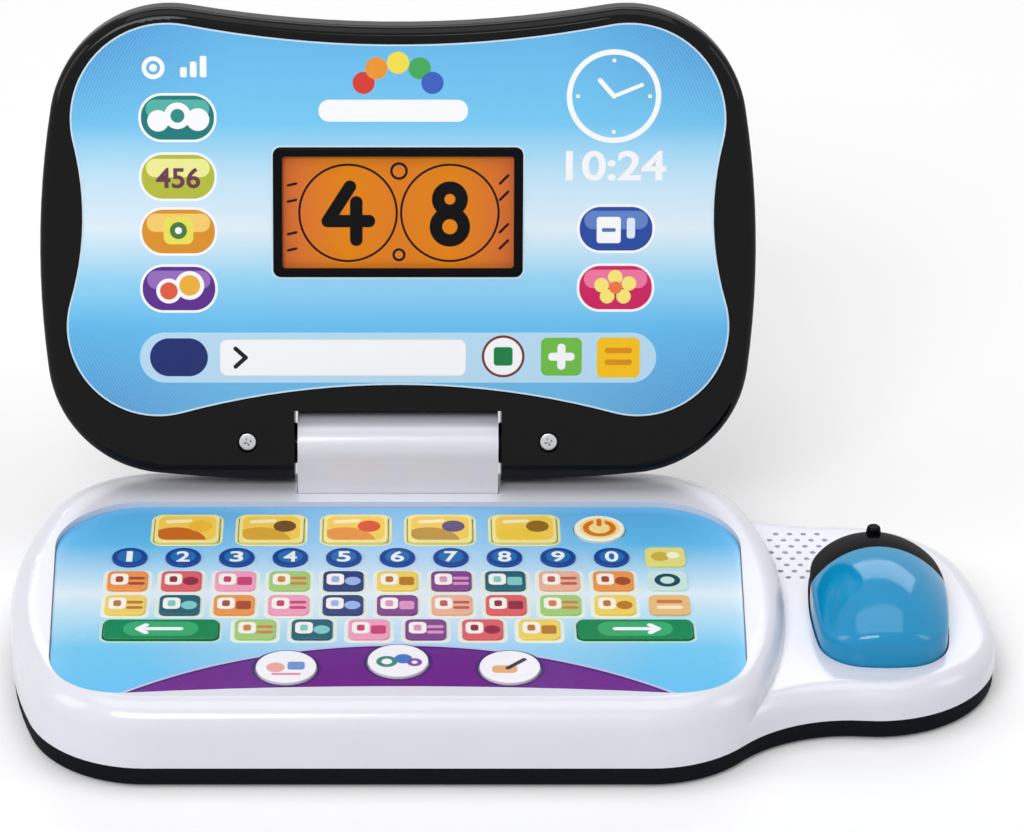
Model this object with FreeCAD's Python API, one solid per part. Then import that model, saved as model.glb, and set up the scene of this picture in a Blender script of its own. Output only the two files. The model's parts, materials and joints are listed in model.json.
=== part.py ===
"""Toy laptop computer: a hinged lid with a picture screen on a white base with a key deck,
and a wing on the right that carries a push-down toy mouse. Sizes in millimetres.

Drawing frame: x = 0 in the middle of the key deck, y = 0 half way down the main body,
z = 0 on the table. The lid is drawn flat about the hinge axis and then tilted up. At the end
everything moves so that the origin is under the middle of the whole object.
"""
import FreeCAD, Part
import math
import os

V = FreeCAD.Vector

# Heights above the table
FOOT_HEIGHT = 0.8
SPLIT_Z = 7.4
WING_Z = 18.5
RIM_Z = 28.0
PANEL_Z = RIM_Z - 2.0

# Main body, as four corner circles joined by side arcs
MAIN_CORNER_X = 76.0
MAIN_CORNER_Y = 37.0
MAIN_CORNER_R = 38.0
MAIN_SIDE_R = 150.0
MAIN_TOP_ROUND = 8.0

# Wing, as two corner circles; concave necks run from it to the main body
WING_FRONT_X = MAIN_CORNER_X + 70.0
WING_FRONT_Y = -9.0
WING_FRONT_R = 39.4
WING_BACK_X = WING_FRONT_X - 5.1
WING_BACK_Y = 14.9
WING_BACK_R = 40.0
WING_SIDE_R = 150.0
NECK_FRONT_R = 45.0
NECK_BACK_R = 60.0
WING_TOP_ROUND = 6.0
WING_START_X = WING_FRONT_X - 28.0

# Walls, gaps and fits
WALL = 2.4
FLOOR = 2.2
SEAM_STEP = 0.5
BOTTOM_ROUND = 1.4
LIP = 1.6
FIT_GAP = 0.3
RUN_GAP = 0.05
SLIDE_GAP = 0.4

# Key deck panel, as four corner circles
DECK_BACK_X = 80.0
DECK_BACK_Y = 22.3
DECK_BACK_R = 27.5
DECK_FRONT_X = 83.5
DECK_FRONT_Y = -43.0
DECK_FRONT_R = 22.0
DECK_FRONT_DIP_R = 900.0
DECK_PANEL = 1.2
DECK_PLATE = 2.2
DECK_INSET = 6.0

# Keys
ROW_KEYS = 10
LOWER_KEYS = 6
KEY_PITCH = 16.8
KEY_ROW = 14.6
FIRST_KEY_X = -84.2
UPPER_ROW_Y = 3.0
LOWER_KEY_X = -43.7
LOWER_KEY_PITCH = 17.4
KEY_WIDE = 12.6
KEY_DEEP = 11.6
KEY_CORNER = 2.2
KEY_EDGE = 0.3
NUMBER_D = 11.2
KEY_PROUD = 0.8
KEY_TRAVEL = 0.8
KEY_REST_GAP = 0.1
KEY_FLANGE = 1.2
KEY_FLANGE_T = 0.8
TOPIC_WIDE = 20.4
TOPIC_DEEP = 17.4
TOPIC_X = -66.8
TOPIC_PITCH = 26.7
TOPIC_Y = 35.4
POWER_D = 16.0
POWER_X = 63.8
BAR_WIDE = 35.2
BAR_DEEP = 11.4
BAR_X = 72.6
ROUND_D = 18.4
ROUND_X = 33.8
ROUND_Y = -48.2
ROUND_RISE = 3.6
DOME_D = 7.0
MAT_T = 0.8
BOARD_T = 1.6

# Hinge
HINGE_Y = MAIN_CORNER_Y + MAIN_CORNER_R - 8.5
HINGE_Z = RIM_Z + 12.5
LID_TILT = 17.0
BARREL_R = 11.0
BRACKET_WIDE = 64.0
BRACKET_BACK = 5.4
BRACKET_FLANGE = 5.0
EAR_GAP = 1.0
PIN_R = 3.0
PIN_BORE_R = 1.6
PIN_IN = 18.0
PIN_OUT = 38.0
PIN_BLOCK = 14.0
WASHER_T = 0.7
WASHER_R = 6.5
NOTCH_TOP = 12.6
CHIN_R = 12.1

# Lid, drawn flat about the hinge axis: front face up
LID_HALF = 11.0
LID_SEAM = 1.5
LID_TOP_X = 72.0
LID_TOP_Y = 103.5
LID_TOP_R = 38.0
LID_LOW_X = 73.0
LID_LOW_Y = 30.2
LID_LOW_R = 38.5
LID_SIDE_R = 292.0
LID_TOP_DIP_R = 396.0
LID_CHIN_R = 800.0
LID_FRONT_ROUND = 3.8
LID_BACK_ROUND = 8.5
SCREEN_TOP_X = 72.5
SCREEN_TOP_Y = 106.0
SCREEN_TOP_R = 30.8
SCREEN_LOW_X = 76.3
SCREEN_LOW_Y = 39.7
SCREEN_LOW_R = 28.8
SCREEN_SIDE_DIP_R = 97.0
SCREEN_TOP_DIP_R = 355.0
SCREEN_LOW_DIP_R = 262.0
SCREEN_T = 1.0
SCREEN_SINK = 0.3
LCD_Y = 76.6
LCD_WIDE = 78.4
LCD_HIGH = 41.0
LCD_LIP = 2.6
LCD_CELL = 2.2
LCD_STACK = 4.6
LCD_PROUD = 0.3
LCD_CORNER = 2.5
LCD_FLANGE = 3.0
LCD_FLANGE_T = 2.0
LCD_EDGE = 0.5
GLASS_CORNER = 0.5
OPENING_CORNER = 1.0
WINDOW_SINK = 0.9
WINDOW_T = 1.2
DISPLAY_BOARD_SIDE = 5.0
DISPLAY_BOARD_END = 6.0
CHIN_SCREW_X = 48.0
CHIN_SCREW_Y = 2.4
CHIN_SCREW_SINK = 0.6

# Mouse in the wing
MOUSE_X = WING_FRONT_X + 3.3
MOUSE_Y = -3.0
MOUSE_FRONT_X = 5.3
MOUSE_FRONT_Y = -17.5
MOUSE_FRONT_R = 14.5
MOUSE_FRONT_BEND = 60.0
MOUSE_BACK_X = 4.0
MOUSE_BACK_Y = 17.5
MOUSE_BACK_R = 16.0
MOUSE_BACK_BEND = 30.0
MOUSE_SIDE_BEND = 150.0
MOUSE_TOP_Z = 37.5
MOUSE_LONG_R = 66.0
MOUSE_CROSS_R = 26.0
MOUSE_EDGE_ROUND = 5.0
MOUSE_SKIRT_Z = 15.4
MOUSE_WALL = 1.8
MOUSE_SEAM_Y = 6.5
MOUSE_SEAM_R = 45.0
MOUSE_FLANGE = 2.0
MOUSE_FLANGE_T = 1.6
MOUSE_TRAVEL = 2.0
MOUSE_LUG_Y = 22.5
MOUSE_LUG_R = 4.4
MOUSE_LUG_TIP_R = 2.0
MOUSE_LUG_TOP = 35.0
MOUSE_LUG_ROUND = 0.9
SPRING_R = 5.0
SPRING_WIRE = 0.9
CARRIER_KEY = 2.0
BOARD_STAND = 2.0
MOUSE_BOARD_WIDE = 22.0
MOUSE_BOARD_DEEP = 16.0
SWITCH_WIDE = 4.0
SWITCH_HIGH = 2.4
SWITCH_BUTTON_R = 1.2
SWITCH_BUTTON_HIGH = 0.8

# Speaker in the wing
GRILLE_X = WING_FRONT_X - 27.5
GRILLE_Y = 46.0
GRILLE_PITCH = 4.4
GRILLE_ROW = 3.9
GRILLE_HOLE_R = 0.9
GRILLE_ROWS = (4, 5, 4, 5, 4, 4, 3, 3)
SPEAKER_X = WING_FRONT_X - 27.5
SPEAKER_Y = 31.0
SPEAKER_R = 12.5
BASKET_R = SPEAKER_R - 0.6
MAGNET_R = 6.2
CONE_R = SPEAKER_R - 1.9
CONE_FOOT_R = 5.0
SPEAKER_RIM_T = 1.2
BASKET_DEEP = 3.6
MAGNET_T = 3.2
CONE_DEEP = 4.0
CONE_T = 0.6

# Batteries and boards
CELL_R = 7.1
CELL_LONG = 50.0
CELL_Y = 22.0
CELL_PITCH = 15.2
DOOR_T = 1.8
DOOR_MARGIN = 4.0
DOOR_SCREW_X = 37.0
DOOR_SCREW_TOP = 12.0
DOOR_HOOK_WIDE = 8.0
DOOR_HOOK_T = 1.2
GRIP_RIBS = 5
GRIP_X = -20.0
GRIP_PITCH = 3.0
GRIP_WIDE = 1.2
GRIP_LONG = 12.0
GRIP_DEEP = 0.5
BOX_WALL = 1.8
RIB_T = 1.6
RIB_HIGH = 3.0
RIB_X = 72.0
RIB_LONG = 100.0
LID_RIB_X = 54.0
LID_RIB_LOW = 26.0
LID_RIB_TOP = 120.0
SPRING_ROOM = 4.0
NIPPLE_R = 2.6
NIPPLE_LONG = 1.2
CONTACT_WIDE = 10.0
CONTACT_T = 0.6
CONTACT_SPRING_R = 2.4
LEAD_R = 0.9
LEAD_BEND = 2.6
LEAD_DOWN_X = 8.0
LEAD_SIDE_X = -42.0
LEAD_LIFT = 4.0

MAIN_BOARD_X = -20.0
MAIN_BOARD_Y = -38.0
MAIN_BOARD_WIDE = 90.0
MAIN_BOARD_DEEP = 40.0
BOARD_CORNER = 2.0
BLOB_R = 7.0
BLOB_HIGH = 2.2
BLOB_ROUND = 1.6
CHIP_X = 29.0
CHIP_Y = -2.0
CHIP_WIDE = 10.0
CHIP_DEEP = 8.0
CHIP_HIGH = 3.0
CAN_X = -28.0
CAN_Y = 8.0
CAN_R = 4.0
CAN_HIGH = 7.0

# Fasteners and feet
SCREW_R = 1.5
SCREW_HEAD_R = 3.0
SCREW_HEAD_T = 1.8
POST_R = 4.0
POST_STEP = 2.0
PILOT_END = 0.5
SCREW_REACH = WING_Z - 1.5 * WALL - SPLIT_Z - POST_STEP - PILOT_END
BASE_SCREWS = ((-95, -48), (-98, 54), (95, -48), (98, 54),
               (WING_FRONT_X + 31.5, -12), (WING_FRONT_X + 18.5, 34.8))
FOOT_R = 7.0
FOOT_SEAT = 0.8
FOOT_EDGE = 0.6
FEET = ((-80, -58), (-80, 58), (80, 58), (80, -58), (WING_FRONT_X + 12, -32), (WING_FRONT_X + 14, 10))


def rotated(x, y):
    """The direction a quarter turn to the right of (x, y)."""
    return y, -x


def two_circle_centre(a, b, reach_a, reach_b, side):
    """The point reach_a from a and reach_b from b, on the left (1) or right (-1) of a to b."""
    dx = b[0] - a[0]
    dy = b[1] - a[1]
    span = math.hypot(dx, dy)
    along = (reach_a ** 2 - reach_b ** 2 + span ** 2) / (2 * span)
    off = math.sqrt(reach_a ** 2 - along ** 2)
    right = rotated(dx / span, dy / span)
    return (a[0] + along * dx / span - side * off * right[0],
            a[1] + along * dy / span - side * off * right[1])


def towards(a, b, distance):
    """The point at a distance from a, on the way to b."""
    span = math.hypot(b[0] - a[0], b[1] - a[1])
    return (a[0] + distance * (b[0] - a[0]) / span, a[1] + distance * (b[1] - a[1]) / span)


def join(first, second, bend):
    """Ends and centre of the side between two corner circles, anticlockwise round the outline.

    bend 0 is a straight side, above 0 an arc that bulges out, below 0 an arc that dips in.
    """
    a, b = first[:2], second[:2]
    if bend > 0:
        centre = two_circle_centre(a, b, bend - first[2], bend - second[2], 1)
        return towards(centre, a, bend), towards(centre, b, bend), centre
    if bend < 0:
        centre = two_circle_centre(a, b, first[2] - bend, second[2] - bend, -1)
        return towards(a, centre, first[2]), towards(b, centre, second[2]), centre
    span = math.hypot(b[0] - a[0], b[1] - a[1])
    along = (first[2] - second[2]) / span
    right = rotated((b[0] - a[0]) / span, (b[1] - a[1]) / span)
    out = math.sqrt(1 - along ** 2)
    nx = along * (b[0] - a[0]) / span + out * right[0]
    ny = along * (b[1] - a[1]) / span + out * right[1]
    return ((a[0] + first[2] * nx, a[1] + first[2] * ny),
            (b[0] + second[2] * nx, b[1] + second[2] * ny), None)


def arc(start, end, centre, turn):
    """Arc about a centre from start to end, anticlockwise for turn 1 and clockwise for -1."""
    radius = math.hypot(start[0] - centre[0], start[1] - centre[1])
    first = math.atan2(start[1] - centre[1], start[0] - centre[0])
    last = math.atan2(end[1] - centre[1], end[0] - centre[0])
    sweep = (turn * (last - first)) % (2 * math.pi)
    middle = first + turn * sweep / 2
    via = V(centre[0] + radius * math.cos(middle), centre[1] + radius * math.sin(middle), 0)
    return Part.Arc(V(*start, 0), via, V(*end, 0)).toShape()


def outline(corners, bends, inset=0.0):
    """Closed face from corner circles (x, y, radius) and the bends of the sides between them."""
    circles = [(x, y, r - inset) for x, y, r in corners]
    sides = []
    for index, bend in enumerate(bends):
        grown = bend - inset if bend else 0
        sides.append(join(circles[index], circles[(index + 1) % len(circles)], grown))
    edges = []
    for index, (start, end, centre) in enumerate(sides):
        came = sides[index - 1][1]
        edges.append(arc(came, start, circles[index], 1))
        if centre is None:
            edges.append(Part.LineSegment(V(*start, 0), V(*end, 0)).toShape())
        else:
            edges.append(arc(start, end, centre, 1 if bends[index] > 0 else -1))
    return Part.Face(Part.Wire(edges))


def slab(face, low, high):
    """A face drawn at z = 0, raised into a plate between two heights."""
    plate = face.extrude(V(0, 0, high - low))
    plate.translate(V(0, 0, low))
    return plate


def edges_at(shape, height):
    """The edges that lie wholly at one height."""
    def level(edge):
        box = edge.BoundBox
        return abs(box.ZMin - height) < 0.01 and abs(box.ZMax - height) < 0.01
    return [edge for edge in shape.Edges if level(edge)]


def soften(shape, radius, height):
    """Round the edges at one height."""
    return shape.makeFillet(radius, edges_at(shape, height))


def box(x0, x1, y0, y1, z0, z1):
    """Box between two corners."""
    return Part.makeBox(x1 - x0, y1 - y0, z1 - z0, V(x0, y0, z0))


def disc(x, y, radius, low, high):
    """Upright round bar."""
    return Part.makeCylinder(radius, high - low, V(x, y, low))


def bar_x(y, z, radius, x0, x1):
    """Round bar along x."""
    return Part.makeCylinder(radius, x1 - x0, V(x0, y, z), V(1, 0, 0))


def rounded_box(wide, deep, corner, low, high, x=0.0, y=0.0):
    """Upright plate with four rounded corners about (x, y)."""
    dx = wide / 2 - corner
    dy = deep / 2 - corner
    corners = [(x - dx, y - dy, corner), (x + dx, y - dy, corner),
               (x + dx, y + dy, corner), (x - dx, y + dy, corner)]
    return slab(outline(corners, (0, 0, 0, 0)), low, high)


def tube(points, radius, bend):
    """Round lead along straight runs with tangent arcs at the corners."""
    edges = []
    here = points[0]
    for before, corner, after in zip(points, points[1:], points[2:]):
        back = (before - corner).normalize()
        ahead = (after - corner).normalize()
        half = back.getAngle(ahead) / 2
        trim = bend / math.tan(half)
        start = corner + back * trim
        end = corner + ahead * trim
        middle = corner + (back + ahead).normalize() * (bend / math.sin(half) - bend)
        edges.append(Part.LineSegment(here, start).toShape())
        edges.append(Part.Arc(start, middle, end).toShape())
        here = end
    edges.append(Part.LineSegment(here, points[-1]).toShape())
    path = Part.Wire(edges)
    section = Part.Wire(Part.makeCircle(radius, points[0], points[1] - points[0]))
    return path.makePipeShell([section], True, False)


def main_outline(inset=0.0):
    """Plan of the main body."""
    x, y, r = MAIN_CORNER_X, MAIN_CORNER_Y, MAIN_CORNER_R
    corners = [(-x, -y, r), (x, -y, r), (x, y, r), (-x, y, r)]
    return outline(corners, (0, MAIN_SIDE_R, 0, MAIN_SIDE_R), inset)


def base_outline(inset=0.0):
    """Plan of the whole base: the main body with the wing on its right."""
    x, y, r = MAIN_CORNER_X, MAIN_CORNER_Y, MAIN_CORNER_R
    corners = [(-x, -y, r), (x, -y, r), (WING_FRONT_X, WING_FRONT_Y, WING_FRONT_R),
               (WING_BACK_X, WING_BACK_Y, WING_BACK_R), (x, y, r), (-x, y, r)]
    bends = (0, -NECK_FRONT_R, WING_SIDE_R, -NECK_BACK_R, 0, MAIN_SIDE_R)
    return outline(corners, bends, inset)


def deck_outline(inset=0.0):
    """Plan of the printed key deck panel."""
    corners = [(-DECK_FRONT_X, DECK_FRONT_Y, DECK_FRONT_R), (DECK_FRONT_X, DECK_FRONT_Y, DECK_FRONT_R),
               (DECK_BACK_X, DECK_BACK_Y, DECK_BACK_R), (-DECK_BACK_X, DECK_BACK_Y, DECK_BACK_R)]
    return outline(corners, (-DECK_FRONT_DIP_R, 0, 0, 0), inset)


def mouse_outline(inset=0.0):
    """Plan of the mouse: broad at the user's end, round at the nose, with bulged sides."""
    front = (MOUSE_Y + MOUSE_FRONT_Y, MOUSE_FRONT_R)
    back = (MOUSE_Y + MOUSE_BACK_Y, MOUSE_BACK_R)
    corners = [(MOUSE_X - MOUSE_FRONT_X, *front), (MOUSE_X + MOUSE_FRONT_X, *front),
               (MOUSE_X + MOUSE_BACK_X, *back), (MOUSE_X - MOUSE_BACK_X, *back)]
    bends = (MOUSE_FRONT_BEND, MOUSE_SIDE_BEND, MOUSE_BACK_BEND, MOUSE_SIDE_BEND)
    return outline(corners, bends, inset)


def lid_outline(inset=0.0):
    """Plan of the lid, drawn flat: dipped top edge, bulged sides, chin below the hinge axis."""
    corners = [(-LID_LOW_X, LID_LOW_Y, LID_LOW_R), (LID_LOW_X, LID_LOW_Y, LID_LOW_R),
               (LID_TOP_X, LID_TOP_Y, LID_TOP_R), (-LID_TOP_X, LID_TOP_Y, LID_TOP_R)]
    return outline(corners, (LID_CHIN_R, LID_SIDE_R, -LID_TOP_DIP_R, LID_SIDE_R), inset)


def screen_outline(inset=0.0):
    """Plan of the printed screen panel, drawn in on all four sides."""
    corners = [(-SCREEN_LOW_X, SCREEN_LOW_Y, SCREEN_LOW_R), (SCREEN_LOW_X, SCREEN_LOW_Y, SCREEN_LOW_R),
               (SCREEN_TOP_X, SCREEN_TOP_Y, SCREEN_TOP_R), (-SCREEN_TOP_X, SCREEN_TOP_Y, SCREEN_TOP_R)]
    bends = (-SCREEN_LOW_DIP_R, -SCREEN_SIDE_DIP_R, -SCREEN_TOP_DIP_R, -SCREEN_SIDE_DIP_R)
    return outline(corners, bends, inset)


def row_keys(first_x, pitch, count, y):
    """Low moulded pads of one row of letter keys, seated on the deck panel."""
    pads = []
    for index in range(count):
        pad = rounded_box(KEY_WIDE, KEY_DEEP, KEY_CORNER, PANEL_Z, PANEL_Z + KEY_PROUD,
                          first_x + index * pitch, y)
        pads.append(soften(pad, KEY_EDGE, PANEL_Z + KEY_PROUD))
    return pads


def number_keys():
    """Row of ten round number keys."""
    y = UPPER_ROW_Y + KEY_ROW
    pads = [disc(FIRST_KEY_X + index * KEY_PITCH, y, NUMBER_D / 2, PANEL_Z, PANEL_Z + KEY_PROUD)
            for index in range(ROW_KEYS)]
    return [soften(pad, KEY_EDGE, PANEL_Z + KEY_PROUD) for pad in pads]


def side_keys():
    """Three small keys at the right-hand end of the upper rows."""
    x = FIRST_KEY_X + ROW_KEYS * KEY_PITCH
    return [pad for row in (1, 0, -1) for pad in row_keys(x, KEY_PITCH, 1, UPPER_ROW_Y + row * KEY_ROW)]


def key_places():
    """Each key that travels on its own: name, centre, width and depth; equal sizes mean round."""
    places = []
    for index in range(5):
        places.append((f"topic_key_{index + 1}", TOPIC_X + index * TOPIC_PITCH, TOPIC_Y,
                       TOPIC_WIDE, TOPIC_DEEP))
    places.append(("power_key", POWER_X, TOPIC_Y, POWER_D, POWER_D))
    bar_y = UPPER_ROW_Y - 2 * KEY_ROW
    places.append(("green_key_left", -BAR_X, bar_y, BAR_WIDE, BAR_DEEP))
    places.append(("green_key_right", BAR_X, bar_y, BAR_WIDE, BAR_DEEP))
    for name, step in (("left", -1), ("middle", 0), ("right", 1)):
        rise = 0 if step else ROUND_RISE
        places.append((f"round_key_{name}", step * ROUND_X, ROUND_Y + rise, ROUND_D, ROUND_D))
    return places


def key_plate(place, grow, low, high):
    """The plan of one travelling key, grown all round, between two heights."""
    x, y, wide, deep = place[1:]
    if wide == deep:
        return disc(x, y, wide / 2 + grow, low, high)
    return rounded_box(wide + 2 * grow, deep + 2 * grow, KEY_CORNER + grow, low, high, x, y)


def travelling_key(place):
    """Key cap through its window, with the flange that keeps it in and presses its dome."""
    under = PANEL_Z - DECK_PANEL - KEY_REST_GAP
    cap = soften(key_plate(place, 0, under, PANEL_Z + KEY_PROUD), KEY_EDGE, PANEL_Z + KEY_PROUD)
    flange = key_plate(place, KEY_FLANGE, under - KEY_FLANGE_T, under)
    return cap.fuse(flange).removeSplitter()


def mat_top():
    """Upper face of the rubber dome mat, against the deck plate."""
    return PANEL_Z - DECK_PANEL - DECK_PLATE


def post_holes(low, high):
    """Room round the screw posts in the boards under the deck."""
    return [disc(x, y, POST_R + SLIDE_GAP, low, high) for x, y in BASE_SCREWS]


def keypad_panel():
    """Printed deck panel with a window for each travelling key."""
    panel = slab(deck_outline(), PANEL_Z - DECK_PANEL, PANEL_Z)
    windows = [key_plate(place, SLIDE_GAP, PANEL_Z - 2 * DECK_PANEL, PANEL_Z + 1)
               for place in key_places()]
    return panel.cut(windows)


def key_dome_mat():
    """Rubber mat with one collapsing dome under each travelling key."""
    top = mat_top()
    mat = slab(deck_outline(DECK_INSET), top - MAT_T, top)
    height = DECK_PLATE - KEY_REST_GAP - KEY_FLANGE_T
    domes = [Part.makeCone(DOME_D / 2, DOME_D / 3, height, V(place[1], place[2], top))
             for place in key_places()]
    return mat.fuse(domes).cut(post_holes(top - MAT_T, top)).removeSplitter()


def keypad_board():
    """Contact board under the dome mat."""
    top = mat_top() - MAT_T
    board = slab(deck_outline(DECK_INSET), top - BOARD_T, top)
    return board.cut(post_holes(top - BOARD_T, top))


def base_top_shell():
    """White upper housing: main pillow and lower wing, hollow, with all its openings."""
    main = soften(slab(main_outline(), SPLIT_Z, RIM_Z), MAIN_TOP_ROUND, RIM_Z)
    wing = soften(slab(base_outline(), SPLIT_Z, WING_Z), WING_TOP_ROUND, WING_Z)
    shell = main.fuse(wing)
    main_room = slab(main_outline(WALL), SPLIT_Z - 1, RIM_Z - WALL)
    main_room = soften(main_room, MAIN_TOP_ROUND - WALL, RIM_Z - WALL)
    deck = slab(deck_outline(-WALL), PANEL_Z - DECK_PANEL - DECK_PLATE, RIM_Z)
    wing_room = slab(base_outline(WALL), SPLIT_Z - 1, WING_Z - WALL)
    wing_room = soften(wing_room, WING_TOP_ROUND - WALL, WING_Z - WALL)
    shell = shell.cut([main_room.cut(deck), wing_room])
    recess = slab(deck_outline(-FIT_GAP), PANEL_Z - DECK_PANEL, RIM_Z + 1)
    windows = [key_plate(place, KEY_FLANGE + SLIDE_GAP, mat_top() - 1, RIM_Z) for place in key_places()]
    half = BRACKET_WIDE / 2 + FIT_GAP
    slot = box(-half, half, HINGE_Y - BARREL_R - FIT_GAP, HINGE_Y + BRACKET_BACK + FIT_GAP,
               SPLIT_Z, RIM_Z + 1)
    pocket = slab(mouse_outline(-SLIDE_GAP), SPLIT_Z, WING_Z + 1)
    shell = shell.cut([recess, slot, pocket] + windows + grille_holes())
    posts = [disc(x, y, POST_R, post_foot(), post_top(x, y)) for x, y in BASE_SCREWS]
    pilots = [disc(x, y, SCREW_R, post_foot(), post_top(x, y) - WALL) for x, y in BASE_SCREWS]
    return shell.fuse(posts).cut(pilots).removeSplitter()


def post_foot():
    """Height at which the screw posts of the two base shells meet."""
    return SPLIT_Z + POST_STEP


def post_top(x, y):
    """Screw posts run up into the wing's roof, the deck plate or the roof behind the deck."""
    if x > WING_START_X:
        return WING_Z - WALL / 2
    if y < DECK_BACK_Y:
        return mat_top() + DECK_PLATE / 2
    return RIM_Z - WALL / 2


def grille_holes():
    """Staggered rows of sound holes over the speaker, shorter where the mouse comes near."""
    holes = []
    for row, count in enumerate(GRILLE_ROWS):
        for index in range(count):
            x = GRILLE_X + (index + (row + 1) % 2 / 2) * GRILLE_PITCH
            y = GRILLE_Y - row * GRILLE_ROW
            holes.append(disc(x, y, GRILLE_HOLE_R, WING_Z - 2 * WALL, WING_Z + 1))
    return holes


def battery_size():
    """Half width, front and back of the room for the two cells."""
    return (CELL_LONG / 2 + SPRING_ROOM, CELL_Y - CELL_PITCH / 2 - CELL_R - FIT_GAP,
            CELL_Y + CELL_PITCH / 2 + CELL_R + FIT_GAP)


def cell_z():
    """Height of the cells' axes above the battery door."""
    return FOOT_HEIGHT + DOOR_T + 2 * FIT_GAP + CELL_R


def base_bottom_shell():
    """Black tray that closes the base, with the battery box and the screw posts."""
    tray = slab(base_outline(SEAM_STEP), FOOT_HEIGHT, SPLIT_Z)
    tray = soften(tray, BOTTOM_ROUND, FOOT_HEIGHT)
    lip = slab(base_outline(WALL + FIT_GAP), SPLIT_Z - 1, SPLIT_Z + LIP)
    room = slab(base_outline(2 * WALL), FOOT_HEIGHT + FLOOR, SPLIT_Z + 2 * LIP)
    tray = tray.fuse(lip).cut(room).fuse(tray_ribs())
    half, front, back = battery_size()
    roof = cell_z() + CELL_R + FIT_GAP
    walls = box(-half - BOX_WALL, half + BOX_WALL, front - BOX_WALL, back + BOX_WALL,
                FOOT_HEIGHT + FLOOR, roof + BOX_WALL)
    posts = [disc(x, y, POST_R, FOOT_HEIGHT + FLOOR / 2, post_foot()) for x, y in BASE_SCREWS]
    stand = disc(MOUSE_X, MOUSE_Y, SPRING_R + WALL, FOOT_HEIGHT + FLOOR / 2, board_z())
    tray = tray.fuse([walls, stand] + posts)
    cell_room = box(-half, half, front, back, 0, roof)
    holes = [disc(x, y, SCREW_R + FIT_GAP, 0, post_foot() + 1) for x, y in BASE_SCREWS]
    heads = [disc(x, y, SCREW_HEAD_R + FIT_GAP, 0, FOOT_HEIGHT + SCREW_HEAD_T + FIT_GAP)
             for x, y in BASE_SCREWS]
    seats = [disc(x, y, FOOT_R + FIT_GAP, 0, FOOT_HEIGHT + FOOT_SEAT) for x, y in FEET]
    door = door_plate(FIT_GAP, FOOT_HEIGHT - 1, FOOT_HEIGHT + DOOR_T)
    screw_boss = disc(DOOR_SCREW_X, CELL_Y, POST_R, FOOT_HEIGHT + FLOOR / 2, DOOR_SCREW_TOP)
    screw_hole = disc(DOOR_SCREW_X, CELL_Y, SCREW_R, 0, DOOR_SCREW_TOP - 1)
    tray = tray.fuse(screw_boss)
    slot = hook_bar(FIT_GAP)
    return tray.cut([cell_room, door, screw_hole, slot] + holes + heads + seats).removeSplitter()


def tray_ribs():
    """Stiffening ribs on the floor of the tray, clear of the boards and the battery box."""
    low = FOOT_HEIGHT + FLOOR / 2
    high = FOOT_HEIGHT + FLOOR + RIB_HIGH
    front = battery_size()[1] - 4 * BOX_WALL
    ribs = [box(x - RIB_T / 2, x + RIB_T / 2, -RIB_LONG / 2, RIB_LONG / 2, low, high) for x in (-RIB_X, RIB_X)]
    return ribs + [box(-RIB_X, RIB_X, front - RIB_T / 2, front + RIB_T / 2, low, high)]


def hook_bar(grow):
    """Bar at the left end of the battery door that slides over the tray's floor, through the box wall."""
    half = battery_size()[0]
    low = FOOT_HEIGHT + FLOOR + RUN_GAP
    wide = DOOR_HOOK_WIDE / 2 + grow
    return box(-half - BOX_WALL - FIT_GAP - grow, -half + BOX_WALL, CELL_Y - wide, CELL_Y + wide,
               low - (RUN_GAP if grow else 0), low + DOOR_HOOK_T + grow)


def door_plate(grow, low, high):
    """Plan of the battery door: over the cells and past the screw at its right end."""
    half, front, back = battery_size()
    left = -half - DOOR_MARGIN / 2
    right = DOOR_SCREW_X + DOOR_MARGIN + SCREW_HEAD_R
    wide = right - left + 2 * grow
    deep = back - front + DOOR_MARGIN + 2 * grow
    return rounded_box(wide, deep, DOOR_MARGIN, low, high, (left + right) / 2, CELL_Y)


def battery_door():
    """Screw-down battery door with a row of grip ribs."""
    door = door_plate(0, FOOT_HEIGHT, FOOT_HEIGHT + DOOR_T)
    head = disc(DOOR_SCREW_X, CELL_Y, SCREW_HEAD_R + FIT_GAP, 0, FOOT_HEIGHT + DOOR_T / 2)
    hole = disc(DOOR_SCREW_X, CELL_Y, SCREW_R + FIT_GAP, 0, FOOT_HEIGHT + 2 * DOOR_T)
    grooves = [rounded_box(GRIP_WIDE, GRIP_LONG, GRIP_WIDE / 2.4, 0, FOOT_HEIGHT + GRIP_DEEP,
                           GRIP_X + index * GRIP_PITCH, CELL_Y) for index in range(GRIP_RIBS)]
    inner = -battery_size()[0] + RUN_GAP
    riser = box(inner, inner + BOX_WALL - RUN_GAP, CELL_Y - DOOR_HOOK_WIDE / 2, CELL_Y + DOOR_HOOK_WIDE / 2,
                FOOT_HEIGHT + DOOR_T / 2, FOOT_HEIGHT + FLOOR + DOOR_HOOK_T)
    return door.fuse([riser, hook_bar(0)]).cut([head, hole] + grooves).removeSplitter()


def screw(x, y, head_low, head_t, tip):
    """Pan-head screw driven upwards from below."""
    head = disc(x, y, SCREW_HEAD_R, head_low, head_low + head_t)
    return head.fuse(disc(x, y, SCREW_R, head_low, tip)).removeSplitter()


def base_screws():
    """Six screws that hold the two base shells together."""
    low = FOOT_HEIGHT + FIT_GAP
    return [screw(x, y, low, SCREW_HEAD_T, post_foot() + SCREW_REACH) for x, y in BASE_SCREWS]


def battery_door_screw():
    """Screw that locks the battery door."""
    return screw(DOOR_SCREW_X, CELL_Y, FOOT_HEIGHT + RUN_GAP, DOOR_T / 2 - RUN_GAP, DOOR_SCREW_TOP - SCREW_R)


def rubber_feet():
    """Round feet let into the underside."""
    return [soften(disc(x, y, FOOT_R, 0, FOOT_HEIGHT + FOOT_SEAT), FOOT_EDGE, 0) for x, y in FEET]


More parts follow.
